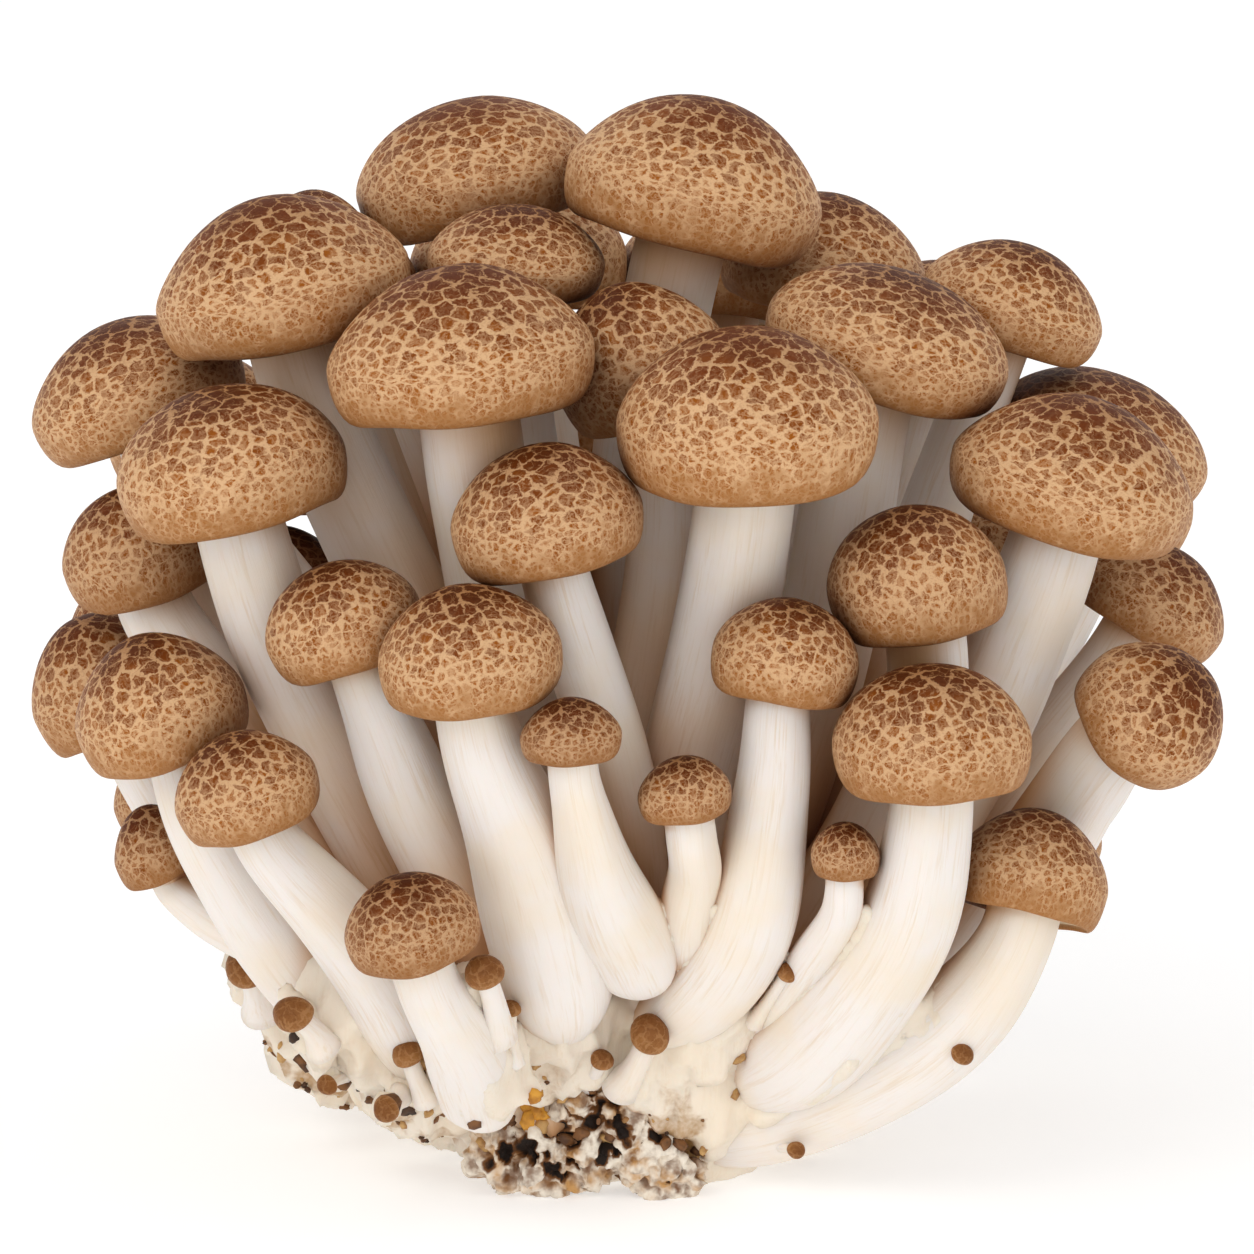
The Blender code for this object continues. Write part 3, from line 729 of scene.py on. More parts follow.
@dataclass
class SharedEffects:
    """The shader groups that more than one finish uses, each built once."""

    patches: Tree = field(init=False)
    fibres: Tree = field(init=False)
    blotches: Tree = field(init=False)
    # The bends of the web between the cells, wide ones first: (noise scale, reach)
    bends: tuple[tuple[float, float], ...] = ((0.6, 2.2), (1.7, 0.65))
    evenness: float = 0.9
    corner_reach: float = 0.34
    corner_cut: float = 0.3
    # Where the crown's plain cells give way to the slope's broken ones, as shares of the way to the rim
    slope: tuple[float, float] = (0.12, 0.8)
    size_spread: float = 0.26
    net_scale: float = 2.1
    strand_sway: float = 0.1
    strand_stretch: tuple[float, float, float] = (24.0, 24.0, 3.0)
    fine_fibre: tuple[float, float, float] = (3.8, 3.8, 0.2)
    broad_fibre: tuple[float, float, float] = (0.9, 0.9, 0.07)

    def __post_init__(self) -> None:
        """Build the groups."""
        self.patches = self.build_patches()
        self.fibres = self.build_fibres()
        self.blotches = self.build_blotches()

    def build_patches(self) -> Tree:
        """Build the patched skin: rounded cells in a web that widens down the slope, with fine strands.

        Returns:
            The group. It takes the skin laid flat, each point's spoke and the cells' scale.
        """
        inputs = {"Skin": (0.0, 0.0, 0.0), "Spoke": (0.0, 0.0, 0.0), "Cell Scale": 0.5}
        outputs = dict.fromkeys(("Patch", "Tone", "Thread", "Streak"), "NodeSocketFloat")
        tree, given, result = new_group("patched_skin", inputs, outputs)
        skin, spoke, scale = (given.outputs[label] for label in inputs)
        bent = skin
        for bend_scale, reach in self.bends:
            bent = swayed(tree, bent, bent, bend_scale, (reach, reach, 0.0))
        lower = ramp(tree, place(tree, "ShaderNodeSeparateXYZ", {0: spoke}).outputs["Z"], *self.slope)
        cell = {"Vector": bent, "Scale": scale, "Randomness": self.evenness}
        body = place(tree, "ShaderNodeTexVoronoi", cell, voronoi_dimensions="2D", feature="F1")
        tone = place(tree, "ShaderNodeSeparateColor", {0: body.outputs["Color"]}).outputs[0]
        inside = self.inside_cell(tree, cell, body.outputs["Distance"])
        spread = times(tree, less(tree, tone, 0.5), times(tree, lower, self.size_spread))
        ragged = less(tree, noise_field(tree, skin, 2.4), 0.5)
        rough = added(tree, times(tree, lower, 0.12), 0.06)
        inside = added(tree, less(tree, inside, spread), times(tree, ragged, rough))
        low = less(tree, times(tree, lower, 0.03), 0.02)
        high = added(tree, times(tree, lower, 0.16), 0.06)
        net_cell = {"Vector": bent, "Scale": times(tree, scale, self.net_scale), "Randomness": 1.0}
        net = place(tree, "ShaderNodeTexVoronoi", net_cell, voronoi_dimensions="2D", feature="DISTANCE_TO_EDGE")
        net_line = less(tree, 1.0, ramp(tree, net.outputs["Distance"], 0.02, 0.2))
        curl = worked(tree, "ABSOLUTE", less(tree, noise_field(tree, bent, 0.75, 1.0), 0.5))
        curl_line = less(tree, 1.0, ramp(tree, curl, 0.0, 0.03))
        strand = swayed(tree, spoke, skin, 1.4, (self.strand_sway,) * 3)
        streak = noise_field(tree, stretched(tree, strand, self.strand_stretch), 1.0, 4.0)
        set_inputs(tree, result, {
            "Patch": ramp(tree, inside, low, high), "Tone": tone, "Streak": ramp(tree, streak, 0.45, 0.6),
            "Thread": worked(tree, "MAXIMUM", times(tree, net_line, lower), curl_line)})
        return tree

    def inside_cell(self, tree: Tree, cell: dict[str, object], from_middle: Socket) -> Socket:
        """Find how far inside its cell a point is, with the cell's corners rounded off.

        Args:
            tree: The group's tree.
            cell: The cells' own settings.
            from_middle: The distance from the cell's middle.

        Returns:
            The distance from the rounded edge, below 0 outside it.
        """
        edge = place(tree, "ShaderNodeTexVoronoi", cell, voronoi_dimensions="2D", feature="DISTANCE_TO_EDGE")
        corner = worked(tree, "MAXIMUM", less(tree, from_middle, self.corner_reach), 0.0)
        return less(tree, edge.outputs["Distance"], times(tree, corner, self.corner_cut))

    def build_fibres(self) -> Tree:
        """Build fine threads that run along Z of the vector.

        Returns:
            The group.
        """
        inputs, outputs = {"Along": (0.0, 0.0, 0.0)}, dict.fromkeys(("Thread", "Height"), "NodeSocketFloat")
        tree, given, result = new_group("fibres", inputs, outputs)
        along = given.outputs["Along"]
        fine = noise_field(tree, stretched(tree, along, self.fine_fibre), 1.0, 5.0)
        broad = noise_field(tree, stretched(tree, along, self.broad_fibre), 1.0)
        set_inputs(tree, result, {
            "Thread": times(tree, ramp(tree, fine, 0.44, 0.66), ramp(tree, broad, 0.38, 0.66)),
            "Height": added(tree, times(tree, fine, 0.45), times(tree, broad, 0.55))})
        return tree

    def build_blotches(self) -> Tree:
        """Build broad soft blotches with fine grain in them.

        Returns:
            The group.
        """
        inputs = {"Place": (0.0, 0.0, 0.0), "Blotch Scale": 100.0, "Grain Scale": 1500.0}
        outputs = dict.fromkeys(("Blotch", "Grain"), "NodeSocketFloat")
        tree, given, result = new_group("blotches", inputs, outputs)
        spots, blotch_scale, grain_scale = (given.outputs[label] for label in inputs)
        blotch = {"Vector": spots, "Scale": blotch_scale, "Detail": 3.0}
        grain = {"Vector": spots, "Scale": grain_scale, "Detail": 2.0}
        broad = place(tree, "ShaderNodeTexNoise", blotch).outputs["Fac"]
        fine = place(tree, "ShaderNodeTexNoise", grain).outputs["Fac"]
        set_inputs(tree, result, {"Blotch": ramp(tree, broad, 0.4, 0.68), "Grain": fine})
        return tree

    def blotched(self, tree: Tree, blotch_scale: float, grain_scale: float) -> tuple[Socket, Socket]:
        """Spread blotches and grain over a piece by its own coordinates.

        Args:
            tree: The material's tree.
            blotch_scale: Scale of the blotches, for a metre.
            grain_scale: Scale of the grain, for a metre.

        Returns:
            The blotches and the grain.
        """
        spots = place(tree, "ShaderNodeTexCoord").outputs["Object"]
        group = place(tree, "ShaderNodeGroup", node_tree=self.blotches)
        set_inputs(tree, group, {"Place": spots, "Blotch Scale": blotch_scale, "Grain Scale": grain_scale})
        return group.outputs["Blotch"], group.outputs["Grain"]


def new_material(name: str) -> tuple[Material, Tree, bpy.types.Node]:
    """Start a material.

    Args:
        name: The material's name.

    Returns:
        The material, its tree and its Principled BSDF.
    """
    material = bpy.data.materials.new(name)
    material.use_nodes = True
    tree = material.node_tree
    return material, tree, tree.nodes["Principled BSDF"]


def set_inputs(tree: Tree, node: bpy.types.Node, sockets: dict[str | int, object]) -> None:
    """Set or feed a node's own sockets.

    Args:
        tree: The node's tree.
        node: The node.
        sockets: Its inputs by name or number, each with a value or with the socket that feeds it.
    """
    for key, value in sockets.items():
        if isinstance(value, Socket):
            tree.links.new(value, node.inputs[key])
        else:
            node.inputs[key].default_value = value


def bumped(tree: Tree, height: Socket, depth: float, strength: float) -> Socket:
    """Turn a height of 0 to 1 into a normal, for a relief of a depth in millimetres."""
    sockets = {"Height": height, "Distance": depth * MM, "Strength": strength}
    return place(tree, "ShaderNodeBump", sockets).outputs[0]


@dataclass(frozen=True)
class SkinFinish:
    """Satin brown skin: dark patches in a pale web, which shrink and pale towards a plain tan rim, with painted
    shade where neighbours close it in.
    """

    name: str = "cap_skin"
    crown: str = "#522508"
    patch: str = "#713406"
    amber: str = "#985411"
    web: str = "#D4AB80"
    crown_web: str = "#A2744A"
    rim: str = "#A57140"
    lip: str = "#E0C7A2"
    # Painted shade: brown multiplied in where neighbours close the skin in
    painted_shade: str = "#6E4426"
    cells_per_mm: float = 0.55
    strands: float = 0.5
    unevenness: float = 0.45
    roughness: float = 0.5

    def material(self, shared: SharedEffects) -> Material:
        """Build the material from the skin and spoke attributes, and the painted-shade attribute.

        Args:
            shared: The shader groups.

        Returns:
            The material.
        """
        material, tree, shader = new_material(self.name)
        skin, spoke = read(tree, "skin"), read(tree, "spoke")
        reach = place(tree, "ShaderNodeSeparateXYZ", {0: spoke}).outputs["Z"]
        shade = place(tree, "ShaderNodeSeparateXYZ", {0: skin}).outputs["Z"]
        patches = place(tree, "ShaderNodeGroup", node_tree=shared.patches)
        set_inputs(tree, patches, {"Skin": skin, "Spoke": spoke, "Cell Scale": self.cells_per_mm})
        patch, tone = patches.outputs["Patch"], patches.outputs["Tone"]
        thread, streak = patches.outputs["Thread"], patches.outputs["Streak"]
        grain = noise_field(tree, skin, 3.4)
        broad = less(tree, noise_field(tree, skin, 0.25, 2.0), 0.5)
        uneven_reach = added(tree, reach, times(tree, broad, self.unevenness))
        # Young caps have the dark crown in full, and ripe ones have less of it
        youth = {"Value": shade, "From Min": -0.5, "From Max": -0.1, "To Min": 0.4}
        young = place(tree, "ShaderNodeMapRange", youth).outputs[0]
        crownness = times(tree, less(tree, 1.0, ramp(tree, uneven_reach, 0.1, 0.5)), young)
        warm = added(tree, uneven_reach, times(tree, tone, 0.35))
        warm = added(tree, warm, times(tree, grain, 0.3))
        dark = mixed(tree, ramp(tree, warm, 0.6, 1.15), colour(self.patch), self.amber)
        dark = mixed(tree, crownness, dark, self.crown)
        web = mixed(tree, ramp(tree, uneven_reach, 0.05, 0.62), colour(self.crown_web), self.web)
        surface = mixed(tree, patch, web, dark)
        surface = mixed(tree, times(tree, thread, self.strands), surface, web)
        surface = mixed(tree, ramp(tree, grain, 0.45, 0.7, 0.3), surface, self.amber, "MULTIPLY")
        streaked = times(tree, streak, ramp(tree, reach, 0.3, 0.85, 0.6))
        surface = mixed(tree, streaked, surface, self.web)
        surface = mixed(tree, ramp(tree, uneven_reach, 0.74, 1.0, 0.85), surface, self.rim)
        surface = mixed(tree, ramp(tree, shade, 0.0, 1.0, 0.4), surface, self.patch, "MULTIPLY")
        surface = mixed(tree, ramp(tree, reach, 1.02, 1.08), surface, self.lip)
        # Painted shade, darker where the skin is closed in
        shade_share = ramp(tree, read(tree, "painted_shade", "Fac"), 0.35, 0.9, 0.9)
        surface = mixed(tree, shade_share, surface, self.painted_shade, "MULTIPLY")
        height = added(tree, times(tree, patch, -0.5), times(tree, grain, 0.5))
        gloss = added(tree, times(tree, grain, 0.16), self.roughness - 0.06)
        set_inputs(tree, shader, {
            "Base Color": surface, "Roughness": gloss, "Specular IOR Level": 0.1,
            "Subsurface Weight": 0.04, "Subsurface Radius": (1.0, 0.5, 0.25), "Subsurface Scale": 0.0008,
            "Normal": bumped(tree, height, 0.1, 0.5)})
        return material


@dataclass(frozen=True)
class GillFinish:
    """Pale cream gills, with painted shade in the clefts between them and where neighbours close them in."""

    name: str = "gills"
    edge: str = "#F0E4CC"
    # Tan for the blotches, also painted shade in the clefts between gills
    tan_and_cleft_shade: str = "#CFB287"
    # Painted shade where neighbours close the gills in
    painted_shade: str = "#7A4E2C"
    roughness: float = 0.7

    def material(self, shared: SharedEffects) -> Material:
        """Build the material. The gill attribute is 1 on a gill's edge and 0 between gills.

        Args:
            shared: The shader groups.

        Returns:
            The material.
        """
        material, tree, shader = new_material(self.name)
        blotch, grain = shared.blotched(tree, 220.0, 2600.0)
        # Painted shade: darker in the clefts between gills
        surface = mixed(tree, ramp(tree, read(tree, "gill", "Fac"), 0.1, 0.9), colour(self.tan_and_cleft_shade), self.edge)
        surface = mixed(tree, times(tree, blotch, 0.3), surface, self.tan_and_cleft_shade)
        # Painted shade where the gills are closed in
        shade_share = ramp(tree, read(tree, "painted_shade", "Fac"), 0.4, 0.9, 0.9)
        surface = mixed(tree, shade_share, surface, self.painted_shade, "MULTIPLY")
        set_inputs(tree, shader, {
            "Base Color": surface, "Roughness": self.roughness, "Subsurface Weight": 0.15,
            "Subsurface Radius": (1.0, 0.6, 0.35), "Subsurface Scale": 0.001,
            "Normal": bumped(tree, grain, 0.05, 0.4)})
        return material


@dataclass(frozen=True)
class FleshFinish:
    """Cream flesh with fine threads along it, and painted shade, warm and then dark brown, where it is closed
    in.
    """

    name: str
    pale: str = "#ECE5DF"
    thread: str = "#DDC9AF"
    warm: str = "#ECDCC4"
    # Painted shade: warm where the flesh is closed in, and dark brown deep inside
    painted_shade: str = "#DAAA74"
    painted_deep_shade: str = "#A5622A"
    soil: str = "#B08850"
    threads: float = 0.62
    roughness: float = 0.55

    def material(self, shared: SharedEffects) -> Material:
        """Build the material from the grain, painted-shade and stain attributes.

        Args:
            shared: The shader groups.

        Returns:
            The material.
        """
        material, tree, shader = new_material(self.name)
        fibres = place(tree, "ShaderNodeGroup", {"Along": read(tree, "grain")}, node_tree=shared.fibres)
        blotch, grain = shared.blotched(tree, 90.0, 1800.0)
        painted_shade, stain = read(tree, "painted_shade", "Fac"), read(tree, "stain", "Fac")
        thread = times(tree, fibres.outputs["Thread"], self.threads)
        surface = mixed(tree, thread, colour(self.pale), self.thread)
        surface = mixed(tree, times(tree, blotch, 0.6), surface, self.warm)
        # Painted shade: warm and then dark brown where the flesh is closed in
        surface = mixed(tree, ramp(tree, painted_shade, 0.5, 0.8, 0.9), surface, self.painted_shade, "MULTIPLY")
        surface = mixed(tree, ramp(tree, painted_shade, 0.7, 0.95, 0.92), surface, self.painted_deep_shade, "MULTIPLY")
        specks = ramp(tree, added(tree, stain, times(tree, grain, 0.45)), 0.6, 1.3)
        surface = mixed(tree, specks, surface, self.soil)
        height = added(tree, fibres.outputs["Height"], times(tree, grain, 0.25))
        set_inputs(tree, shader, {
            "Base Color": surface, "Roughness": self.roughness, "Specular IOR Level": 0.35,
            "Subsurface Weight": 0.18, "Subsurface Radius": (1.0, 0.6, 0.4), "Subsurface Scale": 0.0014,
            "Normal": bumped(tree, height, 0.13, 0.5)})
        return material


@dataclass(frozen=True)
class MediumFinish:
    """Old growing medium: cream threads over tan and brown crumbs, and near black down in the pits, partly the
    dark medium and partly painted shade.
    """

    name: str = "medium"
    web: str = "#EFE5D5"
    tan: str = "#C2935A"
    brown: str = "#70451F"
    # Partly the dark medium in the pits, partly painted shade deep in them
    dark: str = "#1D1007"
    roughness: float = 0.72

    def material(self, shared: SharedEffects) -> Material:
        """Build the material from the pit and crest attributes.

        Args:
            shared: The shader groups.

        Returns:
            The material.
        """
        material, tree, shader = new_material(self.name)
        near_blotch, near_grain = shared.blotched(tree, 330.0, 1900.0)
        wide_blotch, wide_grain = shared.blotched(tree, 620.0, 900.0)
        crest = added(tree, read(tree, "crest", "Fac"), less(tree, wide_grain, 0.5))
        pit = added(tree, read(tree, "pit", "Fac"), times(tree, near_grain, 0.3))
        surface = mixed(tree, near_blotch, colour(self.web), self.tan)
        surface = mixed(tree, times(tree, wide_blotch, 0.8), surface, self.brown)
        surface = mixed(tree, ramp(tree, crest, 0.75, 1.05, 0.7), surface, self.web)
        surface = mixed(tree, less(tree, 1.0, ramp(tree, crest, 0.1, 0.55)), surface, self.brown)
        # Brown and then near black in the pits and holes: partly the medium, partly painted shade
        surface = mixed(tree, ramp(tree, pit, 0.3, 0.62), surface, self.brown)
        surface = mixed(tree, ramp(tree, pit, 0.6, 0.98), surface, self.dark)
        set_inputs(tree, shader, {
            "Base Color": surface, "Roughness": self.roughness, "Specular IOR Level": 0.3,
            "Normal": bumped(tree, added(tree, near_grain, wide_grain), 0.2, 0.7)})
        return material


@dataclass(frozen=True)
class CrumbFinish:
    """A crumb's colour, broken by grain."""

    name: str
    tone: str
    shadow: str
    roughness: float = 0.7

    def material(self, shared: SharedEffects) -> Material:
        """Build the material.

        Args:
            shared: The shader groups.

        Returns:
            The material.
        """
        material, tree, shader = new_material(self.name)
        blotch, grain = shared.blotched(tree, 700.0, 3200.0)
        surface = mixed(tree, blotch, colour(self.tone), self.shadow)
        set_inputs(tree, shader, {
            "Base Color": surface, "Roughness": self.roughness, "Normal": bumped(tree, grain, 0.08, 0.6)})
        return material


CRUMB_FINISHES = (
    CrumbFinish("crumbs_brown", "#7A4F27", "#4A2C14"), CrumbFinish("crumbs_tan", "#C39A60", "#94683A"),
    CrumbFinish("crumbs_dark", "#2E1B0E", "#4A2E18"), CrumbFinish("crumbs_ochre", "#D79A34", "#A66A1E"))


def dress(piece: Piece, slot: str, *nodes: str) -> None:
    """Tell the frame what a piece rides on, and hide the solids that it stands for.

    Args:
        piece: The piece.
        slot: The slot of its finish. Not used.
        *nodes: The solids that it replaces.
    """
    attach(piece, BODY)
    if nodes:
        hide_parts(*nodes)


def set_materials(piece: Piece, *materials: Material) -> None:
    """Give a piece its materials, in the order of its faces' slots."""
    piece.data.materials.clear()
    for material in materials:
        piece.data.materials.append(material)


# Caps

class CapDetail(Enum):
    """How many points go round a cap, by how wide it is."""

    WIDE = 144
    MIDDLING = 112
    SMALL = 80

    @classmethod
    def of(cls, radius: float) -> CapDetail:
        """Choose the detail of a cap.

        Args:
            radius: The cap's radius in millimetres.

        Returns:
            The detail.
        """
        if radius > 9.5:
            return cls.WIDE
        return cls.MIDDLING if radius > 6.0 else cls.SMALL


@dataclass
class Caps:
    """The skinned caps, each with a domed top, a rolled rim and gills that run in to the stem."""

    cluster_caps: dict[str, SolidCap]
    skin: Material
    gills: Material
    shade_rays: ShadeRays
    waist: float = 0.355
    tuck: float = 0.16
    dome_rings: int = 20
    tuck_rings: int = 7
    tuck_turn: float = math.radians(82)
    # The rim's roll and the gills' rings, as (out, up) shares
    lip: tuple[tuple[float, float], ...] = ((0.852, 0.002), (0.838, 0.004), (0.826, 0.022), (0.818, 0.05))
    gill_rings: tuple[tuple[float, float], ...] = (
        (0.8, 0.062), (0.73, 0.078), (0.62, 0.098), (0.5, 0.12), (0.4, 0.142), (0.3, 0.16))
    gill_swell: tuple[float, ...] = (0.25, 0.9, 1.0, 1.0, 0.8, 0.4)
    gill_depth: float = 0.045
    # Growth: how far caps stray from round, by waves round them and by dents
    unevenness: float = 0.019
    waves: tuple[int, ...] = (1, 2, 3, 5)
    sinking: float = 0.8
    dent_width: float = 9.0
    pointedness: tuple[float, float] = (0.2, 0.6)
    # Pattern: its length from crown to rim, which shrinks less than the cap, and its widening at the rim
    pattern_length: float = 1.55
    pattern_radius: float = 12.5
    pattern_power: float = 0.45
    widening: float = 0.75
    ripe_radius: float = 9.0
    seed: int = 21
    made: list[Piece] = field(default_factory=list)

    def dome(self) -> list[tuple[float, float]]:
        """Draw the outline from the crown over the waist down to the rim.

        Returns:
            The outline as (out, up) shares.
        """
        outline = []
        for step in range(self.dome_rings + 1):
            turn = math.pi / 2 * step / self.dome_rings
            outline.append((math.sin(turn), self.waist + (1 - self.waist) * math.cos(turn)))
        for step in range(1, self.tuck_rings + 1):
            turn = self.tuck_turn * step / self.tuck_rings
            outline.append((1 - self.tuck * (1 - math.cos(turn)), self.waist * (1 - math.sin(turn))))
        return outline

    def build(self) -> list[Piece]:
        """Build every cap from the master of its detail.

        Returns:
            The caps, in the order of their solids.
        """
        dome = self.dome()
        outline = [*dome, *self.lip, *self.gill_rings]
        steps = np.hypot(*np.diff(np.array(outline), axis=0).T)
        self.reach = np.concatenate([[0.0], np.cumsum(steps)]) / steps[:len(dome) - 1].sum()
        self.first_gill = len(dome) + len(self.lip)
        masters = {detail: self.master(outline, detail) for detail in CapDetail}
        draw = random.Random(self.seed)
        for name, cap in self.cluster_caps.items():
            master = masters[CapDetail.of(cap.radius)]
            piece = self.grown(name, cap, master, draw)
            dress(piece, "cap_skin", name)
            self.made.append(piece)
        for master in masters.values():
            master.remove()
        return self.made

    def master(self, outline: list[tuple[float, float]], detail: CapDetail) -> TurnedMaster:
        """Model one cap of unit size.

        Args:
            outline: The (out, up) shares from the crown to the stem.
            detail: How many points go round it.

        Returns:
            The master, with gills for its second material.
        """
        master = TurnedMaster("cap_master", outline, detail.value)
        master.paint(self.skin, self.gills, self.first_gill - 1)
        return master

    def pointed(self, up: Array, share: float) -> Array:
        """Draw the dome in from a half ellipse towards a parabola.

        Args:
            up: The outline's heights as shares.
            share: How far it is drawn in.

        Returns:
            The new heights.
        """
        steep = (up - self.waist) / (1 - self.waist)
        drawn = self.waist + (1 - self.waist) * ((1 - share) * steep + share * steep ** 2)
        return np.where(steep > 0, drawn, up)

    def grown(self, name: str, cap: SolidCap, master: TurnedMaster, draw: random.Random) -> Piece:
        """Copy a master to one solid cap's place, a little uneven as grown.

        Args:
            name: The solid's name.
            cap: The solid as measured.
            master: The master to copy.
            draw: The source of what differs from cap to cap.

        Returns:
            The cap.
        """
        swell = np.zeros(len(master.outline))
        swell[self.first_gill:] = self.gill_swell
        spoke = np.round(master.angle * master.sides / (2 * math.pi)).astype(int)
        ridge = np.where(spoke % 2 == 0, 1.0, -1.0) * swell[master.ring]
        piece = master.copy(f"{name}_skin", self.uneven_points(cap, master, ridge, draw))
        self.store_pattern(piece.data, cap, master, draw)
        store_values(piece.data, "gill", (ridge + 1) / 2)
        # Painted shade where neighbours close the cap in
        self.shade_rays.store(piece.data)
        return piece

    def uneven_points(self, cap: SolidCap, master: TurnedMaster, ridge: Array, draw: random.Random) -> Array:
        """Place a cap's points: each cap has its own point, waves round it and dents.

        Args:
            cap: The solid as measured.
            master: The master that is copied.
            ridge: 1 on a gill's edge and -1 between two gills, for each point.
            draw: The source of what differs from cap to cap.

        Returns:
            The points in millimetres.
        """
        angle, ring = master.angle, master.ring
        up = self.pointed(master.outline[:, 1], draw.uniform(*self.pointedness))[ring]
        up -= ridge * self.gill_depth * 0.5
        reach = self.reach[ring]
        wobble, sink = np.zeros(len(angle)), np.zeros(len(angle))
        for waves in self.waves:
            turn, tilt = draw.uniform(0, 2 * math.pi), draw.uniform(0, 2 * math.pi)
            wobble += self.unevenness / waves ** 0.6 * np.cos(waves * angle + turn + 0.8 * reach)
            sink += self.unevenness / waves ** 0.5 * np.cos(waves * angle + tilt) * reach ** 2
        out = cap.radius * master.out * (1 + wobble)
        first, second = across_axis(cap.axis)
        points = cap.foot() + (
            first * (out * np.cos(angle))[:, None]
            + second * (out * np.sin(angle))[:, None]
            + cap.axis * (cap.height * (up + sink * self.sinking))[:, None])
        dent = noise_values(points, self.dent_width, draw.uniform(0, 50), 2) * self.unevenness * self.dent_width
        away = points - (cap.seat + cap.axis * cap.height * 0.2)
        away /= np.maximum(np.linalg.norm(away, axis=1), 1e-6)[:, None]
        return points + away * (dent * (ring < self.first_gill - 2))[:, None]

    def store_pattern(self, mesh: Mesh, cap: SolidCap, master: TurnedMaster, draw: random.Random) -> None:
        """Store what the skin's finish reads: the skin laid flat, how ripe the cap is, and each point's spoke.

        Args:
            mesh: The cap's mesh.
            cap: The solid as measured.
            master: The master that was copied.
            draw: The source of the pattern's turn, place and shade.
        """
        angle, reach = master.angle, self.reach[master.ring]
        length = cap.radius * self.pattern_length * (self.pattern_radius / cap.radius) ** self.pattern_power
        spread = length * (reach + self.widening * reach ** 3)
        turn = draw.uniform(0, 2 * math.pi)
        shift_x, shift_y = draw.uniform(-400, 400), draw.uniform(-400, 400)
        shade = (self.ripe_radius - cap.radius) / self.ripe_radius + draw.uniform(-0.1, 0.3)
        flat = [spread * np.cos(angle + turn), spread * np.sin(angle + turn), 0 * angle]
        store_vectors(mesh, "skin", np.stack(flat, axis=1) + (shift_x, shift_y, shade))
        store_vectors(mesh, "spoke", np.stack([np.cos(angle), np.sin(angle), reach], axis=1))


# Stems

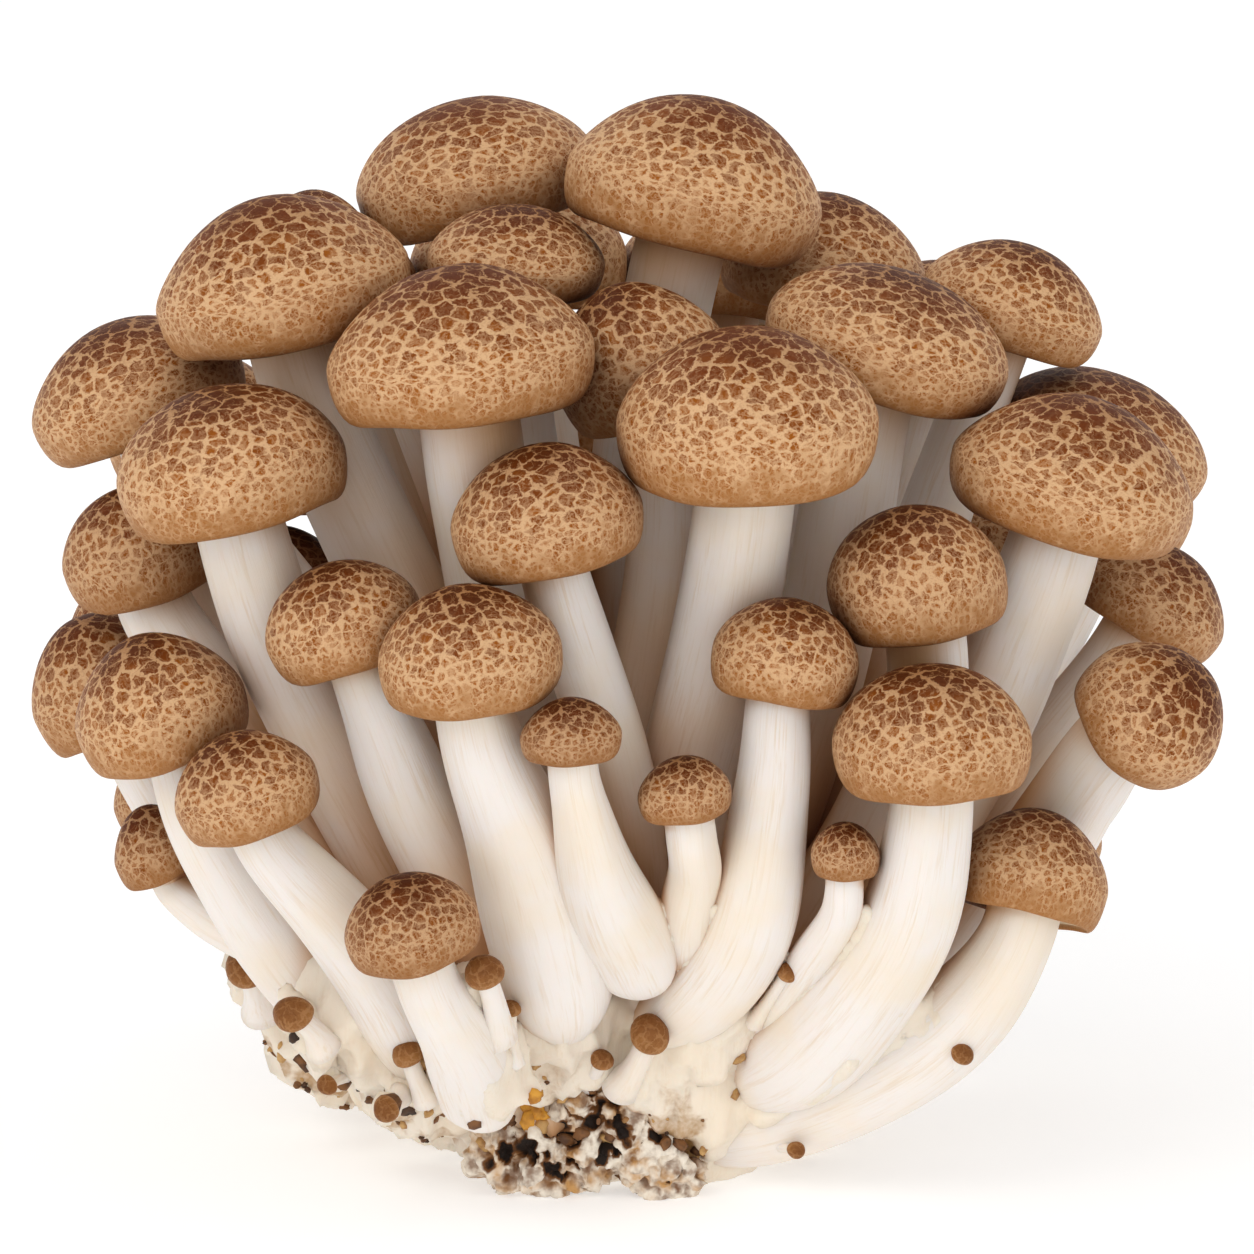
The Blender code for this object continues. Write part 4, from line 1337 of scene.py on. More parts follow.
@dataclass
class Stems:
    """The stems: each swells to a belly and a rounded foot, slims to its neck and runs on into its cap."""

    cluster_caps: dict[str, SolidCap]
    flesh: Material
    shade_rays: ShadeRays
    sides: int = 32
    rings: int = 44
    foot_rings: int = 5
    neck_reach: float = 0.45
    collar: float = 1.5
    into_cap: float = 1.6
    foot_share: float = 0.18
    belly_share: float = 0.7
    foot_rounding: float = 0.7
    foot_length: float = 0.45
    flatness: float = 0.022
    waves: tuple[int, ...] = (2, 3, 4, 7)
    sway: float = 0.3
    # How deep the foot is stained, and how far up as a share of the stem
    stain: tuple[float, float] = (0.35, 0.22)
    seed: int = 8
    made: list[Piece] = field(default_factory=list)
    lines: list[Array] = field(default_factory=list)

    def build(self) -> list[Piece]:
        """Build every stem from one tube.

        Returns:
            The stems, in the order of the caps.
        """
        outline = [(0.0, 0.0), *((1.0, float(ring)) for ring in range(self.rings)), (1.0, self.rings - 1.0)]
        master = TurnedMaster("stem_master", outline, self.sides)
        set_materials(master.piece, self.flesh)
        draw = random.Random(self.seed)
        for number, (row, cap) in enumerate(zip(STEM_ROWS, self.cluster_caps.values()), start=1):
            line = self.line(row, cap, draw)
            piece = self.grown(f"stem_{number:02d}", line, master, draw)
            dress(piece, "stem_flesh", "stems_and_base")
            self.lines.append(line)
            self.made.append(piece)
        master.remove()
        return self.made

    def line(self, row: StemRow, cap: SolidCap, draw: random.Random) -> Array:
        """Work out a stem's centre line, as its solid's, with a slight sway.

        Args:
            row: The stem's row.
            cap: The cap that it carries.
            draw: The source of the sway.

        Returns:
            One row (x, y, z, radius) for each ring, from the foot's tip to inside the cap.
        """
        neck = cap.seat - cap.axis * GAP
        collar = neck - cap.axis * self.collar
        foot, bend = from_view(*row.foot), from_view(*row.bend)
        high = collar - cap.axis * np.linalg.norm(collar - bend) * self.neck_reach
        low = (8 * bend - foot - collar - 3 * high) / 3
        curve_rings = self.rings - self.foot_rings - 3
        share = np.linspace(0.0, 1.0, curve_rings)
        t, s = share[:, None], 1 - share[:, None]
        points = s ** 3 * foot + 3 * s * s * t * low + 3 * s * t * t * high + t ** 3 * collar
        radii = np.array([self.radius(row.thick, value) for value in share])
        swing = np.sin(math.pi * share) ** 2 * self.sway
        for axis in range(3):
            points[:, axis] += swing * np.sin(share * draw.uniform(5, 9) + draw.uniform(0, 6))
        away = points[0] - points[1]
        away /= np.linalg.norm(away)
        tip = []
        for step in range(self.foot_rings):
            turn = math.pi / 2 * (step + 0.4) / (self.foot_rings + 0.4)
            centre = points[0] + away * radii[0] * self.foot_length * math.cos(turn)
            tip.append([*centre, radii[0] * math.sin(turn)])
        top = []
        for beyond in (0.0, 0.5, 1.0):
            centre = neck + cap.axis * (GAP + self.into_cap) * beyond
            top.append([*centre, row.thick[0] / 2 * (1 + 0.06 * beyond)])
        body = np.concatenate([points, radii[:, None]], axis=1)
        return np.concatenate([np.array(tip), body, np.array(top)])

    def radius(self, thick: tuple[float, float], share: float) -> float:
        """Find a stem's radius, as its solid's.

        Args:
            thick: How thick the neck and the belly are.
            share: The share of the stem's length, from the foot.

        Returns:
            The radius.
        """
        neck, belly = thick[0] / 2, thick[1] / 2
        swell = 0.5 - 0.5 * math.cos(math.pi * min(1.0, (1 - share) / self.belly_share))
        rounding = math.sqrt(1 - self.foot_rounding * max(0.0, 1 - share / self.foot_share) ** 2)
        return (neck + (belly - neck) * swell) * rounding

    def grown(self, name: str, line: Array, master: TurnedMaster, draw: random.Random) -> Piece:
        """Copy the tube along a stem's line.

        Args:
            name: The stem's name.
            line: Its rings as (x, y, z, radius).
            master: The tube.
            draw: The source of what differs from stem to stem.

        Returns:
            The stem, with the attributes that its material reads.
        """
        centres, radii = line[:, :3], line[:, 3]
        first, second = self.carried_sides(centres)
        ring = np.minimum(np.round(master.outline[master.ring, 1]).astype(int), self.rings - 1)
        angle, share = master.angle, ring / self.rings
        shape = np.ones(len(angle))
        for waves in self.waves:
            turn = draw.uniform(0, 2 * math.pi)
            shape += self.flatness / waves ** 0.4 * np.cos(waves * angle + turn + 2.0 * share)
        knobs = self.flatness * np.sin(share * draw.uniform(9, 15) + draw.uniform(0, 6))
        knobs *= np.sin(math.pi * share)
        out = radii[ring] * (shape + knobs) * (master.out > 0)
        points = centres[ring] + first[ring] * (out * np.cos(angle))[:, None]
        piece = master.copy(name, points + second[ring] * (out * np.sin(angle))[:, None])
        along = np.concatenate([[0.0], np.cumsum(np.linalg.norm(np.diff(centres, axis=0), axis=1))])
        shift, width = draw.uniform(-300, 300), radii.max()
        grain = [width * np.cos(angle), width * np.sin(angle), along[ring]]
        store_vectors(piece.data, "grain", np.stack(grain, axis=1) + shift)
        # Painted shade where neighbours close the stem in
        self.shade_rays.store(piece.data)
        depth, height = self.stain
        store_values(piece.data, "stain", (1 - smooth_step(share, 0.0, height)) * depth)
        return piece

    def carried_sides(self, centres: Array) -> tuple[Array, Array]:
        """Carry two directions across a line along it, without a twist.

        Args:
            centres: The line's points.

        Returns:
            The two directions, with a row for each point.
        """
        ahead = np.gradient(centres, axis=0)
        ahead /= np.linalg.norm(ahead, axis=1)[:, None]
        sides = [across_axis(ahead[0])[0]]
        for direction in ahead[1:]:
            side = sides[-1] - direction * (sides[-1] @ direction)
            sides.append(side / np.linalg.norm(side))
        first = np.array(sides)
        return first, np.cross(ahead, first)


# Root

@dataclass
class Root:
    """The knotted root: the solid root, softened, wrinkled and grown together with the stems' feet."""

    solid: Piece
    flesh: Material
    shade_rays: ShadeRays
    stem_lines: list[Array]
    top: float = 33.0
    voxel: float = 0.72
    softening: int = 5
    inset: float = 0.5
    wrinkle: float = 0.8
    ridge: float = 0.75
    fine_wrinkle: float = 0.3
    # Where wrinkles fade out up the root, and how far from a stem they set in
    wrinkled_up: tuple[float, float] = (17.0, 27.0)
    wrinkled_clear: tuple[float, float] = (0.2, 2.4)
    # Where the soil stain fades out up the root, its depth above and what is added below
    stained_up: tuple[float, float] = (2.0, 17.0)
    stain: tuple[float, float] = (0.36, 0.46)
    # The mass behind the plug: its middle and its three radii
    filling_middle: tuple[float, float, float] = (-5.0, -13.0, 6.6)
    filling_radii: tuple[float, float, float] = (12.5, 6.0, 6.4)
    back_stalks: int = 22
    stalk_heights: tuple[float, float] = (5.0, 15.0)
    stalk_lengths: tuple[float, float] = (3.5, 6.0)
    stalk_radii: tuple[float, float] = (1.1, 1.8)
    stalk_sides: int = 12
    stalk_depth: float = -20.0
    seed: int = 12

    def build(self) -> Piece:
        """Build the root.

        Returns:
            The root, with the attributes that its material reads.
        """
        piece = self.cut_copy()
        grow_together(piece, self.voxel, self.softening)
        points, normals = mesh_points(piece.data), point_normals(piece.data)
        clear, inside = self.clearance(points)
        low = 1 - smooth_step(points[:, 2], *self.wrinkled_up)
        free = smooth_step(clear, *self.wrinkled_clear) * low
        broad = noise_values(points, 5.5, 3.0)
        fine = noise_values(points * (1.0, 1.0, 0.6), 1.8, 9.0, 2)
        folds = 1 - np.abs(noise_values(points * (1.0, 1.0, 0.3), 3.4, 17.0, 2)) * 3.0
        relief = self.wrinkle * broad + self.ridge * folds + self.fine_wrinkle * fine
        lift = free * relief - self.inset * inside
        above = smooth_step(points[:, 2], 0.0, 1.2)
        points = points + normals * (lift * above)[:, None]
        points[:, 2] = np.maximum(points[:, 2], 0.0)
        set_mesh_points(piece.data, points)
        shade_smooth(piece)
        set_materials(piece, self.flesh)
        store_vectors(piece.data, "grain", points * (1.0, 1.0, 1.5))
        # Painted shade where the root is closed in, at 0.9 of the full share
        self.shade_rays.store(piece.data, 0.9)
        hollow = smooth_step(-(broad + 0.6 * fine), -0.15, 0.5)
        under = 1 - smooth_step(points[:, 2], *self.stained_up)
        stain = free * (self.stain[0] + self.stain[1] * under) * hollow + 0.1 * low
        store_values(piece.data, "stain", stain)
        dress(piece, "stem_flesh", "stems_and_base")
        return piece

    def cut_copy(self) -> Piece:
        """Copy the solid, cut it off above the root and add the filling and the little stalks.

        Returns:
            The copy, in one object.
        """
        piece = merged_copy(self.solid, "root_mass")
        bpy.ops.object.mode_set(mode="EDIT")
        bpy.ops.mesh.select_all(action="SELECT")
        bpy.ops.mesh.bisect(plane_co=(0, 0, self.top * MM), plane_no=(0, 0, 1), use_fill=True, clear_outer=True)
        bpy.ops.object.mode_set(mode="OBJECT")
        added_pieces = [self.stalk(*ends) for ends in self.stalk_ends(surface_tree(piece))]
        bpy.ops.mesh.primitive_ico_sphere_add(
            subdivisions=3, radius=1.0, location=Vector(self.filling_middle) * MM,
            scale=Vector(self.filling_radii) * MM)
        added_pieces.append(bpy.context.object)
        deselect()
        for added_piece in [*added_pieces, piece]:
            added_piece.select_set(True)
        bpy.context.view_layer.objects.active = piece
        bpy.ops.object.join()
        return piece

    def stalk_ends(self, surface: BVHTree) -> list[tuple[Array, Array, tuple[float, float]]]:
        """Find where the little fused stalks stand: those that the front view shows and more round the back.

        Args:
            surface: The root as cut.

        Returns:
            Each stalk's foot, top and two radii.
        """
        ends = []
        for foot, top, radii in FRONT_STALKS:
            hits = view_hit(surface, *foot), view_hit(surface, *top)
            if hits[0] is not None and hits[1] is not None:
                depth = min(hits[0][1], self.stalk_depth)
                ends.append((from_view(*foot, depth), from_view(*top, min(hits[1][1], depth - 1.0)), radii))
        draw = random.Random(self.seed)
        for step in range(self.back_stalks):
            turn = 10 + 160 * (step + draw.uniform(0.1, 0.9)) / self.back_stalks
            found = level_hit(surface, turn, draw.uniform(*self.stalk_heights))
            if found is not None:
                foot, normal = found
                lean = np.array([draw.uniform(-0.3, 0.3), draw.uniform(-0.3, 0.3), 1.0]) + normal * 0.4
                thick = draw.uniform(*self.stalk_radii)
                ends.append((foot, foot + lean * draw.uniform(*self.stalk_lengths), (thick, thick * 0.5)))
        return ends

    def stalk(self, foot: Array, top: Array, radii: tuple[float, float]) -> Piece:
        """Stand one slim stalk on the root.

        Args:
            foot: The middle of its foot.
            top: The middle of its top.
            radii: Its radii at the foot and the top.

        Returns:
            The stalk.
        """
        along = Vector(top - foot)
        bpy.ops.mesh.primitive_cone_add(
            vertices=self.stalk_sides, radius1=radii[0] * MM, radius2=radii[1] * MM,
            depth=(along.length + 1.5) * MM, location=Vector((foot + top) / 2) * MM,
            rotation=along.to_track_quat("Z", "Y").to_euler())
        return bpy.context.object

    def clearance(self, points: Array) -> tuple[Array, Array]:
        """Find how far points are from the stems' surfaces.

        Args:
            points: Rows of places in millimetres.

        Returns:
            The distance outside the nearest stem, and 1 for each point inside one and 0 for the rest.
        """
        clear = np.full(len(points), 1e9)
        for line in self.stem_lines:
            centres, radii = line[:, :3], line[:, 3]
            near = (points[:, 2] < centres[:, 2].max() + 10) & (points[:, 2] > centres[:, 2].min() - 10)
            rows = np.flatnonzero(near)
            away = np.linalg.norm(points[rows, None, :] - centres[None, ::2], axis=2) - radii[None, ::2]
            clear[rows] = np.minimum(clear[rows], away.min(axis=1))
        inside = 1 - smooth_step(clear, -0.15, 0.35)
        return np.maximum(clear, 0.0), inside


# Buds

@dataclass
class Buds:
    """Tiny mushrooms on the root: a stalk that widens to its foot and a brown head that never opened."""

    root: Piece
    skin: Material
    flesh: Material
    sides: int = 28
    # The head from its top to the neck, as shares of its radius above and below its middle
    head: tuple[tuple[float, float], ...] = (
        (0.0, 0.98), (0.3, 0.94), (0.58, 0.8), (0.82, 0.56), (0.97, 0.22), (1.0, -0.06), (0.95, -0.26),
        (0.84, -0.38), (0.68, -0.42), (0.56, -0.5))
    # The stalk's width from the neck to the foot, as shares of the head's radius
    stalk: tuple[float, ...] = (0.56, 0.58, 0.62, 0.7, 0.82, 0.98, 1.15)
    stand_off: float = 1.1
    rise: float = 1.8
    sunk: float = 0.6
    back_count: int = 11
    back_turns: tuple[float, float] = (15.0, 170.0)
    back_heights: tuple[float, float] = (4.0, 15.0)
    back_radii: tuple[float, float] = (0.9, 2.0)
    seed: int = 5
    made: list[Piece] = field(default_factory=list)

    def build(self) -> list[Piece]:
        """Build the buds that the front view shows and those round the back.

        Returns:
            The buds.
        """
        outline = [*self.head, *((out, -1.0 - step) for step, out in enumerate(self.stalk))]
        master = TurnedMaster("bud_master", outline, self.sides)
        master.paint(self.skin, self.flesh, len(self.head) - 1)
        draw = random.Random(self.seed)
        for foot, head, radius in self.places(surface_tree(self.root), draw):
            name = f"bud_{len(self.made) + 1:02d}"
            piece = self.grown(name, foot, head, radius, master, draw)
            dress(piece, "cap_skin", "stems_and_base")
            self.made.append(piece)
        master.remove()
        return self.made

    def places(self, surface: BVHTree, draw: random.Random) -> list[tuple[Array, Array, float]]:
        """Find where the buds stand.

        Args:
            surface: The root.
            draw: The source of the places round the back.

        Returns:
            Each bud's foot, its head's middle and the head's radius.
        """
        places = []
        for head, radius, foot in FRONT_BUDS:
            hit, behind = view_hit(surface, *foot), view_hit(surface, *head)
            if hit is not None:
                depth = hit[1] if behind is None else min(hit[1], behind[1])
                places.append((hit, from_view(*head, depth - radius * self.stand_off), radius))
        low, high = self.back_turns
        for step in range(self.back_count):
            turn = low + (high - low) * (step + draw.uniform(0.2, 0.8)) / self.back_count
            up, radius = draw.uniform(*self.back_heights), draw.uniform(*self.back_radii)
            found = level_hit(surface, turn, up)
            if found is not None:
                foot, normal = found
                head = foot + normal * radius * self.stand_off + (0.0, 0.0, radius * self.rise)
                places.append((foot, head, radius))
        return places

    def grown(self, name: str, foot: Array, head: Array, radius: float,
              master: TurnedMaster, draw: random.Random) -> Piece:
        """Copy the master to a bud's place, a little bent and uneven.

        Args:
            name: The bud's name.
            foot: Where its stalk meets the root.
            head: The middle of its head.
            radius: The head's radius.
            master: The master to copy.
            draw: The source of what differs from bud to bud.

        Returns:
            The bud, with the attributes that its materials read.
        """
        angle, ring = master.angle, master.ring
        length = float(np.linalg.norm(head - foot))
        axis = (head - foot) / length
        neck = len(self.head) - 1
        down = np.clip((ring - neck) / len(self.stalk), 0.0, 1.0)
        neck_up = length + self.head[-1][1] * radius
        stalk_up = neck_up - down * (neck_up + self.sunk * radius)
        up = np.where(ring <= neck, length + master.outline[ring, 1] * radius, stalk_up)
        out = 1 + 0.06 * np.cos(2 * angle + draw.uniform(0, 6)) + 0.03 * np.cos(3 * angle)
        out = master.out * radius * out
        first, second = across_axis(axis)
        bend = draw.uniform(-0.25, 0.25) * np.sin(np.clip(up / length, 0.0, 1.0) * math.pi) * radius
        flat = np.stack([out * np.cos(angle), out * np.sin(angle), up], axis=1)
        points = foot + (first * (flat[:, 0] + bend)[:, None] + second * flat[:, 1:2] + axis * flat[:, 2:])
        points[:, 2] = np.maximum(points[:, 2], 0.0)
        piece = master.copy(name, points)
        reach = np.clip(ring / neck, 0.0, 1.0) * 0.9
        spread = reach * radius * 3.0
        shift = draw.uniform(-300, 300)
        skin = [shift + spread * np.cos(angle), shift + spread * np.sin(angle), 0.2 + 0 * angle]
        store_vectors(piece.data, "skin", np.stack(skin, axis=1))
        store_vectors(piece.data, "spoke", np.stack([np.cos(angle), np.sin(angle), reach], axis=1))
        store_vectors(piece.data, "grain", flat + shift)
        # A low painted-shade share all over, below where the finishes darken
        store_values(piece.data, "painted_shade", np.full(len(angle), 0.3))
        store_values(piece.data, "stain", 0.35 * (1 - smooth_step(up, 0.0, 0.5 * length)))
        return piece


# Plug and crumbs

@dataclass
class Plug:
    """The plug of old growing medium: a torn, crumbly mass of pale threads with open pits."""

    solid: Piece
    medium: Material
    voxel: float = 0.27
    softening: int = 5
    # Pits that the front view shows: (across, up, radius)
    shown_pits: tuple[tuple[float, float, float], ...] = (
        (-9.8, 5.8, 1.5), (-8.6, 4.3, 1.5), (-7.6, 2.6, 1.1), (-5.0, 2.7, 1.4), (-2.4, 5.1, 1.5),
        (-6.6, 0.8, 1.3), (-11.4, 0.2, 1.9), (-13.4, 0.0, 1.3), (-9.0, -1.8, 1.2), (-12.8, 3.2, 1.0),
        (-1.8, 1.8, 0.9), (1.9, 1.3, 1.0), (-3.8, -0.8, 0.9), (-4.8, 5.6, 0.9), (4.4, 0.4, 1.4))
    pit_depth: float = 0.75
    set_back: float = 0.5
    overhang: float = 1.2
    # Small holes all over: their spacing, their size in it and the share of places that have one
    hole_spacing: float = 2.3
    hole_size: tuple[float, float] = (0.18, 0.42)
    hole_share: float = 0.42
    hole_depth: float = 0.7
    swell: float = 0.8
    fold: float = 0.95
    grit: float = 0.4

    def build(self) -> Piece:
        """Build the plug.

        Returns:
            The plug, with the pit and crest attributes that its material reads.
        """
        piece = merged_copy(self.solid, "plug_medium")
        grow_together(piece, self.voxel, self.softening)
        points = mesh_points(piece.data)
        middle = points[:, 1].mean()
        pressed = middle + (points[:, 1] - middle) * self.set_back
        points[:, 1] = np.where(points[:, 1] < middle, pressed, points[:, 1])
        points[:, 2] += smooth_step(middle - points[:, 1], 0.5, 3.5) * self.overhang
        set_mesh_points(piece.data, points)
        normals = point_normals(piece.data)
        folds = 1 - 2.2 * np.abs(noise_values(points, 2.8, 12.0, 3))
        lift = self.swell * noise_values(points, 5.0, 4.0, 2) + self.fold * folds
        lift += self.grit * noise_values(points, 0.9, 30.0, 2)
        pits, depth = self.pits(surface_tree(piece), points)
        holes = self.holes(points)
        lift -= depth + self.hole_depth * holes
        above = smooth_step(points[:, 2], 0.0, 0.5)
        points = points + normals * (lift * above)[:, None]
        points[:, 2] = np.maximum(points[:, 2], 0.0)
        set_mesh_points(piece.data, points)
        shade_smooth(piece)
        # The pit share also sets the painted shade in the pits and holes
        store_values(piece.data, "pit", np.maximum(pits, 0.85 * holes))
        store_values(piece.data, "crest", np.clip(0.5 + 0.5 * folds, 0.0, 1.0))
        set_materials(piece, self.medium)
        dress(piece, "substrate", "substrate_plug")
        return piece

    def pits(self, surface: BVHTree, points: Array) -> tuple[Array, Array]:
        """Sink the pits that the front view shows into the surface.

        Args:
            surface: The plug before its relief.
            points: Its points in millimetres.

        Returns:
            How far each point is inside a pit, from 0 to 1, and how deep it sinks in millimetres.
        """
        uneven = 1 + 1.3 * noise_values(points, 1.5, 50.0, 3)
        share, depth = np.zeros(len(points)), np.zeros(len(points))
        for across, up, radius in self.shown_pits:
            hit = view_hit(surface, across, up)
            if hit is None:
                continue
            away = np.linalg.norm(points - hit, axis=1) * uneven
            inside = 1 - smooth_step(away, 0.25 * radius, 1.15 * radius)
            share = np.maximum(share, inside)
            depth = np.maximum(depth, inside * radius * self.pit_depth)
        return share, depth

    def holes(self, points: Array) -> Array:
        """Find how far each point is inside one of the small holes.

        Args:
            points: Rows of places in millimetres.

        Returns:
            One share for each point, from 0 to 1.
        """
        inside = np.zeros(len(points))
        low, high = self.hole_size
        for index, place_at in enumerate(points / self.hole_spacing):
            near, cells = noise.voronoi(Vector(place_at))
            chance = (cells[0].x * 7.31 + cells[0].y * 3.17 + cells[0].z * 5.73) % 1.0
            if chance < self.hole_share:
                size = low + (high - low) * chance / self.hole_share
                inside[index] = max(0.0, 1 - (near[0] / size) ** 2)
        return inside


@dataclass
class Crumbs:
    """Loose crumbs on the root: many small ones, and a few large ones beside the plug."""

    root: Piece
    plug: Piece
    stems: list[Piece]
    finishes: dict[str, Material]
    shares: tuple[tuple[str, int, float, float], ...] = (
        ("crumbs_brown", 80, 0.2, 0.7), ("crumbs_tan", 110, 0.2, 0.75), ("crumbs_dark", 26, 0.2, 0.5))
    # Crumbs that the front view shows: (finish, across, up, radius)
    shown: tuple[tuple[str, float, float, float], ...] = (
        ("crumbs_ochre", -10.7, 4.2, 1.4), ("crumbs_ochre", -10.4, 5.4, 0.9), ("crumbs_ochre", -11.2, 2.9, 1.0),
        ("crumbs_tan", -10.0, 2.4, 0.8), ("crumbs_brown", -5.8, 1.6, 0.9), ("crumbs_brown", -7.4, 1.2, 0.8),
        ("crumbs_ochre", -9.6, 3.4, 0.7), ("crumbs_tan", -1.4, 3.0, 0.5), ("crumbs_brown", -3.0, 1.4, 0.6),
        ("crumbs_brown", -16.5, 2.6, 0.8), ("crumbs_tan", -15.7, 0.7, 0.8), ("crumbs_brown", -13.0, 2.8, 0.8),
        ("crumbs_brown", -38.8, 13.2, 1.1), ("crumbs_dark", -34.6, 11.4, 0.7),
        ("crumbs_brown", -33.6, 8.9, 1.0), ("crumbs_brown", -29.8, 7.0, 1.0),
        ("crumbs_brown", -25.2, 4.6, 1.4), ("crumbs_dark", -23.2, 4.0, 0.8),
        ("crumbs_tan", -21.8, 8.6, 0.9), ("crumbs_brown", -21.9, 7.4, 0.7), ("crumbs_tan", 9.9, 9.2, 0.7),
        ("crumbs_tan", 9.5, 5.6, 0.6), ("crumbs_brown", 2.6, 0.8, 0.8), ("crumbs_tan", 5.2, -0.4, 0.8),
        ("crumbs_brown", 4.0, 0.6, 0.9), ("crumbs_brown", 32.4, 9.2, 0.6))
    least_stain: float = 0.14
    mostly_small: float = 2.5
    seed: int = 31
    made: list[Piece] = field(default_factory=list)

    def build(self) -> list[Piece]:
        """Build one piece of crumbs for each finish.

        Returns:
            The pieces of crumbs.
        """
        deselect()
        bpy.ops.mesh.primitive_ico_sphere_add(subdivisions=2, radius=1.0)
        master = bpy.context.object
        corners = mesh_points(master.data) * MM
        faces = np.array([face.vertices[:] for face in master.data.polygons])
        bpy.data.objects.remove(master)
        draw = random.Random(self.seed)
        places = self.strewn(draw)
        surface = surface_tree(self.root, self.plug, *self.stems)
        for finish, across, up, radius in self.shown:
            hit = view_hit(surface, across, up)
            if hit is not None:
                places.setdefault(finish, []).append((hit, radius))
        for finish, rows in places.items():
            self.made.append(self.piece(finish, rows, corners, faces, draw))
        return self.made

    def strewn(self, draw: random.Random) -> dict[str, list[tuple[Array, float]]]:
        """Draw places for the loose crumbs, most of them low on the root and off its stems.

        Args:
            draw: The source of the places.

        Returns:
            Each finish's rows of a place and a radius.
        """
        points = mesh_points(self.root.data)
        stain = np.empty(len(points), dtype=np.float32)
        self.root.data.attributes["stain"].data.foreach_get("value", stain)
        low = (1 - smooth_step(points[:, 2], 8.0, 24.0)) * (points[:, 2] > 1.0)
        total = np.cumsum(np.clip(stain - self.least_stain, 0.0, None) * low)
        places = {}
        for finish, count, small, large in self.shares:
            rows = []
            for _ in range(count):
                index = min(int(np.searchsorted(total, draw.uniform(0, total[-1]))), len(points) - 1)
                rows.append((points[index], small + (large - small) * draw.random() ** self.mostly_small))
            places[finish] = rows
        return places

    def piece(self, finish: str, rows: list[tuple[Array, float]], corners: Array,
              faces: Array, draw: random.Random) -> Piece:
        """Gather crumbs of one finish in one piece.

        Args:
            finish: The finish's name, which the piece takes.
            rows: Each crumb's place and radius.
            corners: The round master's points.
            faces: Its faces.
            draw: The source of their rough shapes.

        Returns:
            The piece.
        """
        crumbs = []
        for middle, radius in rows:
            turn = Matrix.Rotation(draw.uniform(0, 6.3), 3, (draw.random(), draw.random(), 1.0))
            size = np.array([draw.uniform(0.7, 1.2), draw.uniform(0.7, 1.2), draw.uniform(0.55, 1.0)]) * radius
            rough = 1 + 0.6 * noise_values(corners, 0.9, draw.uniform(0, 90), 2)[:, None]
            crumbs.append((corners * rough * size) @ np.array(turn).T + middle)
        points = np.concatenate(crumbs)
        points[:, 2] = np.maximum(points[:, 2], 0.0)
        all_faces = [faces + number * len(corners) for number in range(len(rows))]
        mesh = bpy.data.meshes.new(finish)
        mesh.from_pydata((points * MM).tolist(), [], np.concatenate(all_faces).tolist())
        made = bpy.data.objects.new(finish, mesh)
        bpy.context.scene.collection.objects.link(made)
        shade_smooth(made)
        set_materials(made, self.finishes[finish])
        dress(made, "substrate", "substrate_plug")
        return made


# Studio

class SoftLight(NamedTuple):
    """A square soft light: where it hangs and its side in metres, its power in watts, and its colour."""

    name: str
    at: tuple[float, float, float]
    side: float
    power: float
    tone: str


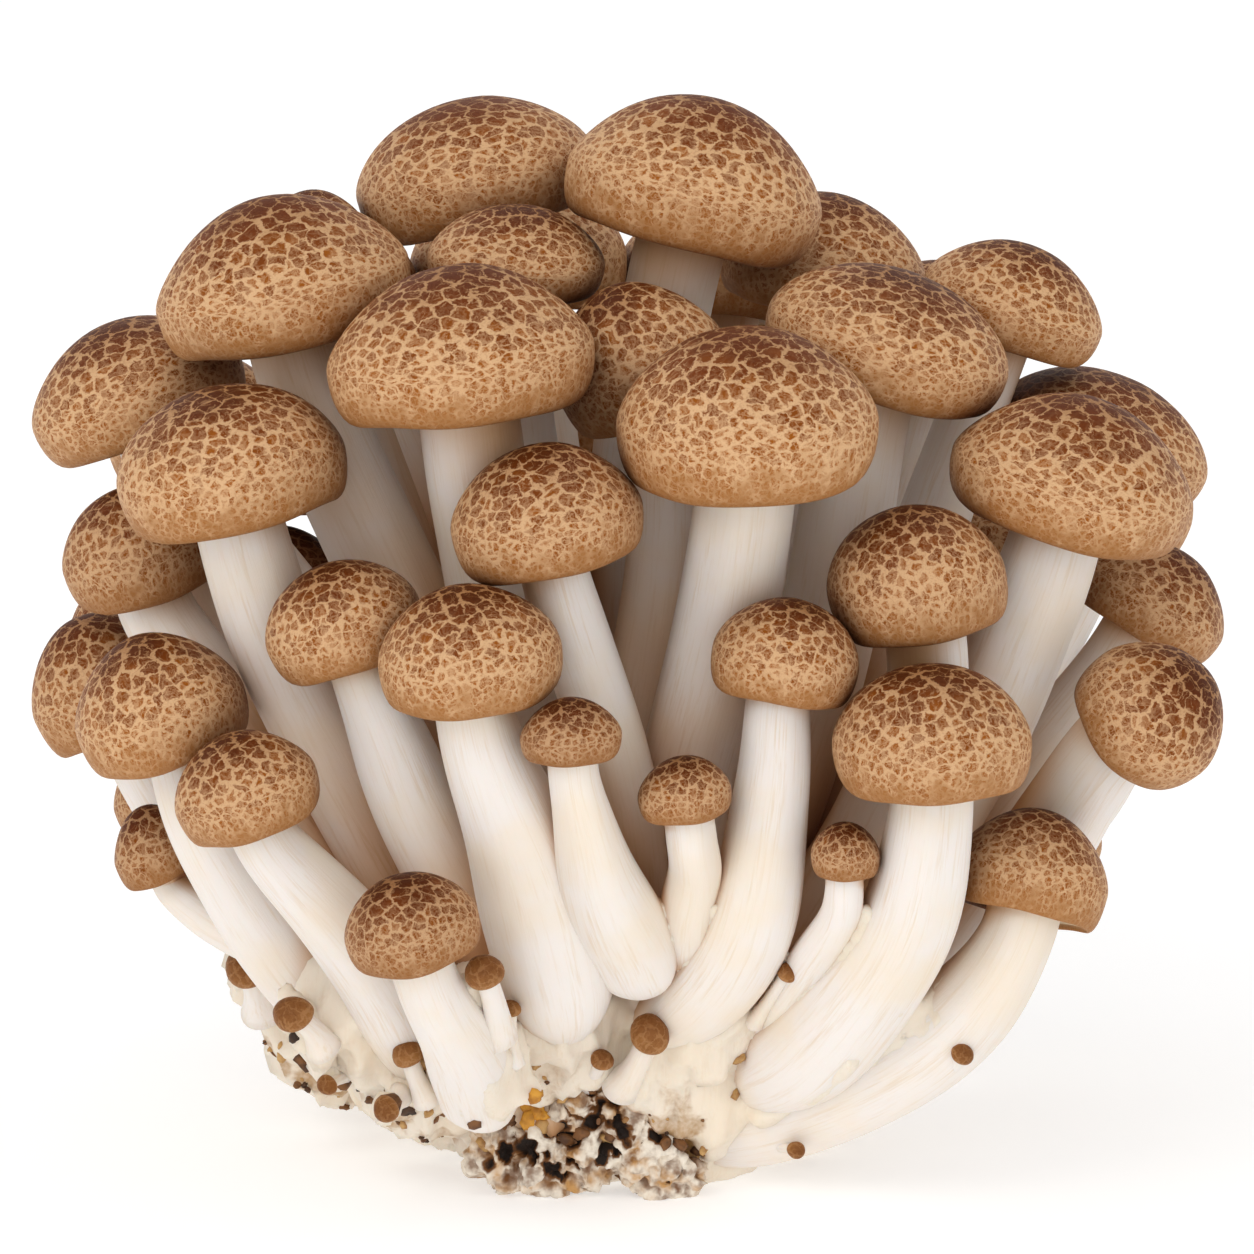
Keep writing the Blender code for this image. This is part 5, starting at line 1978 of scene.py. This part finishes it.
@dataclass
class Studio:
    """A white floor, broad soft lights and the camera of the picture."""

    lights: tuple[SoftLight, ...] = (
        SoftLight("key", (-0.6, -1.0, 0.9), 0.8, 3.8, "#FFFDFA"),
        SoftLight("fill", (0.1, -1.3, 0.28), 0.9, 2.9, "#FFFFFF"))
    sensor: float = 36.0
    floor_side: float = 8.0
    world: float = 0.8
    floor_tone: float = 0.72
    floor_glow: float = 0.44

    def build(self) -> None:
        """Set up the floor, the lights and the camera."""
        scene = bpy.context.scene
        scene.view_settings.view_transform = "Standard"
        scene.view_settings.look = "None"
        self.add_floor()
        self.add_world(scene)
        for row in self.lights:
            self.add_light(scene, row)
        self.add_camera(scene)

    def add_floor(self) -> None:
        """Lay the floor under the cluster."""
        deselect()
        bpy.ops.mesh.primitive_plane_add(size=self.floor_side)
        floor = bpy.context.object
        floor.name = "floor"
        material, tree, shader = new_material("floor_white")
        set_inputs(tree, shader, {
            "Base Color": (self.floor_tone,) * 3 + (1.0,), "Roughness": 0.9, "Specular IOR Level": 0.1,
            "Emission Color": (1.0, 1.0, 1.0, 1.0), "Emission Strength": self.floor_glow})
        set_materials(floor, material)

    def add_world(self, scene: bpy.types.Scene) -> None:
        """Surround the scene with even white light.

        Args:
            scene: The scene.
        """
        world = bpy.data.worlds.new("studio")
        world.use_nodes = True
        sky = world.node_tree.nodes["Background"]
        sky.inputs["Color"].default_value = (1.0, 1.0, 1.0, 1.0)
        sky.inputs["Strength"].default_value = self.world
        scene.world = world

    def add_light(self, scene: bpy.types.Scene, row: SoftLight) -> None:
        """Hang a soft light that faces the cluster.

        Args:
            scene: The scene.
            row: The light.
        """
        light = bpy.data.lights.new(row.name, "AREA")
        light.shape = "SQUARE"
        light.size = row.side
        light.energy = row.power
        light.color = colour(row.tone)[:3]
        lamp = bpy.data.objects.new(row.name, light)
        lamp.location = row.at
        target = Vector((0.0, 0.0, VIEW_MIDDLE[1] * MM))
        lamp.rotation_euler = (target - Vector(row.at)).to_track_quat("-Z", "Y").to_euler()
        scene.collection.objects.link(lamp)

    def add_camera(self, scene: bpy.types.Scene) -> None:
        """Place the camera that sees the rows' front view.

        Args:
            scene: The scene.
        """
        sine, cosine = math.sin(VIEW_ELEVATION), math.cos(VIEW_ELEVATION)
        target = from_view(*VIEW_MIDDLE, 0.0)
        toward = np.array([0.0, -cosine, sine])
        distance = VIEW_DISTANCE - target[2] * sine
        camera = bpy.data.cameras.new("camera")
        camera.sensor_width = self.sensor
        camera.lens = self.sensor * VIEW_DISTANCE / VIEW_WIDTH
        camera.clip_start = 0.01
        camera.clip_end = 50.0
        holder = bpy.data.objects.new("camera", camera)
        holder.location = Vector((target + toward * distance) * MM)
        holder.rotation_euler = Vector(-toward).to_track_quat("-Z", "Y").to_euler()
        scene.collection.objects.link(holder)
        scene.camera = holder


def main() -> None:
    """Build the cluster's pieces in order and report each."""
    logging.basicConfig(level=logging.INFO, format="%(name)s: %(message)s")
    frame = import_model()
    nodes = frame["nodes"]
    measured = {name: measured_cap(node) for name, node in sorted(nodes.items()) if name.startswith("cap_")}
    # Rays that measure how closed in each point is, for painted shade
    shade_rays = ShadeRays(solid_surface(nodes))
    shared = SharedEffects()
    skin = SkinFinish().material(shared)
    gills = GillFinish().material(shared)
    stem_flesh = FleshFinish("stem_flesh").material(shared)
    root_flesh = FleshFinish("root_flesh", pale="#EADFCF", threads=0.4, soil="#A87C42").material(shared)
    bud_skin = SkinFinish(
        "bud_skin", crown="#7C4E28", patch="#8F5E33", amber="#A2713F", web="#AD7F52", crown_web="#8C5F38",
        rim="#A57646", lip="#C49E70", cells_per_mm=0.9).material(shared)
    medium = MediumFinish().material(shared)
    crumb_finishes = {finish.name: finish.material(shared) for finish in CRUMB_FINISHES}
    pieces = Caps(measured, skin, gills, shade_rays).build()
    stems = Stems(measured, stem_flesh, shade_rays)
    pieces += stems.build()
    root = Root(nodes["stems_and_base"], root_flesh, shade_rays, stems.lines).build()
    pieces.append(root)
    pieces += Buds(root, bud_skin, stem_flesh).build()
    plug = Plug(nodes["substrate_plug"], medium).build()
    pieces.append(plug)
    pieces += Crumbs(root, plug, stems.made, crumb_finishes).build()
    Studio().build()
    for piece in pieces:
        LOG.info("%s: %d faces", piece.name, len(piece.data.polygons))
    deselect()


if __name__ == "__main__":
    main()
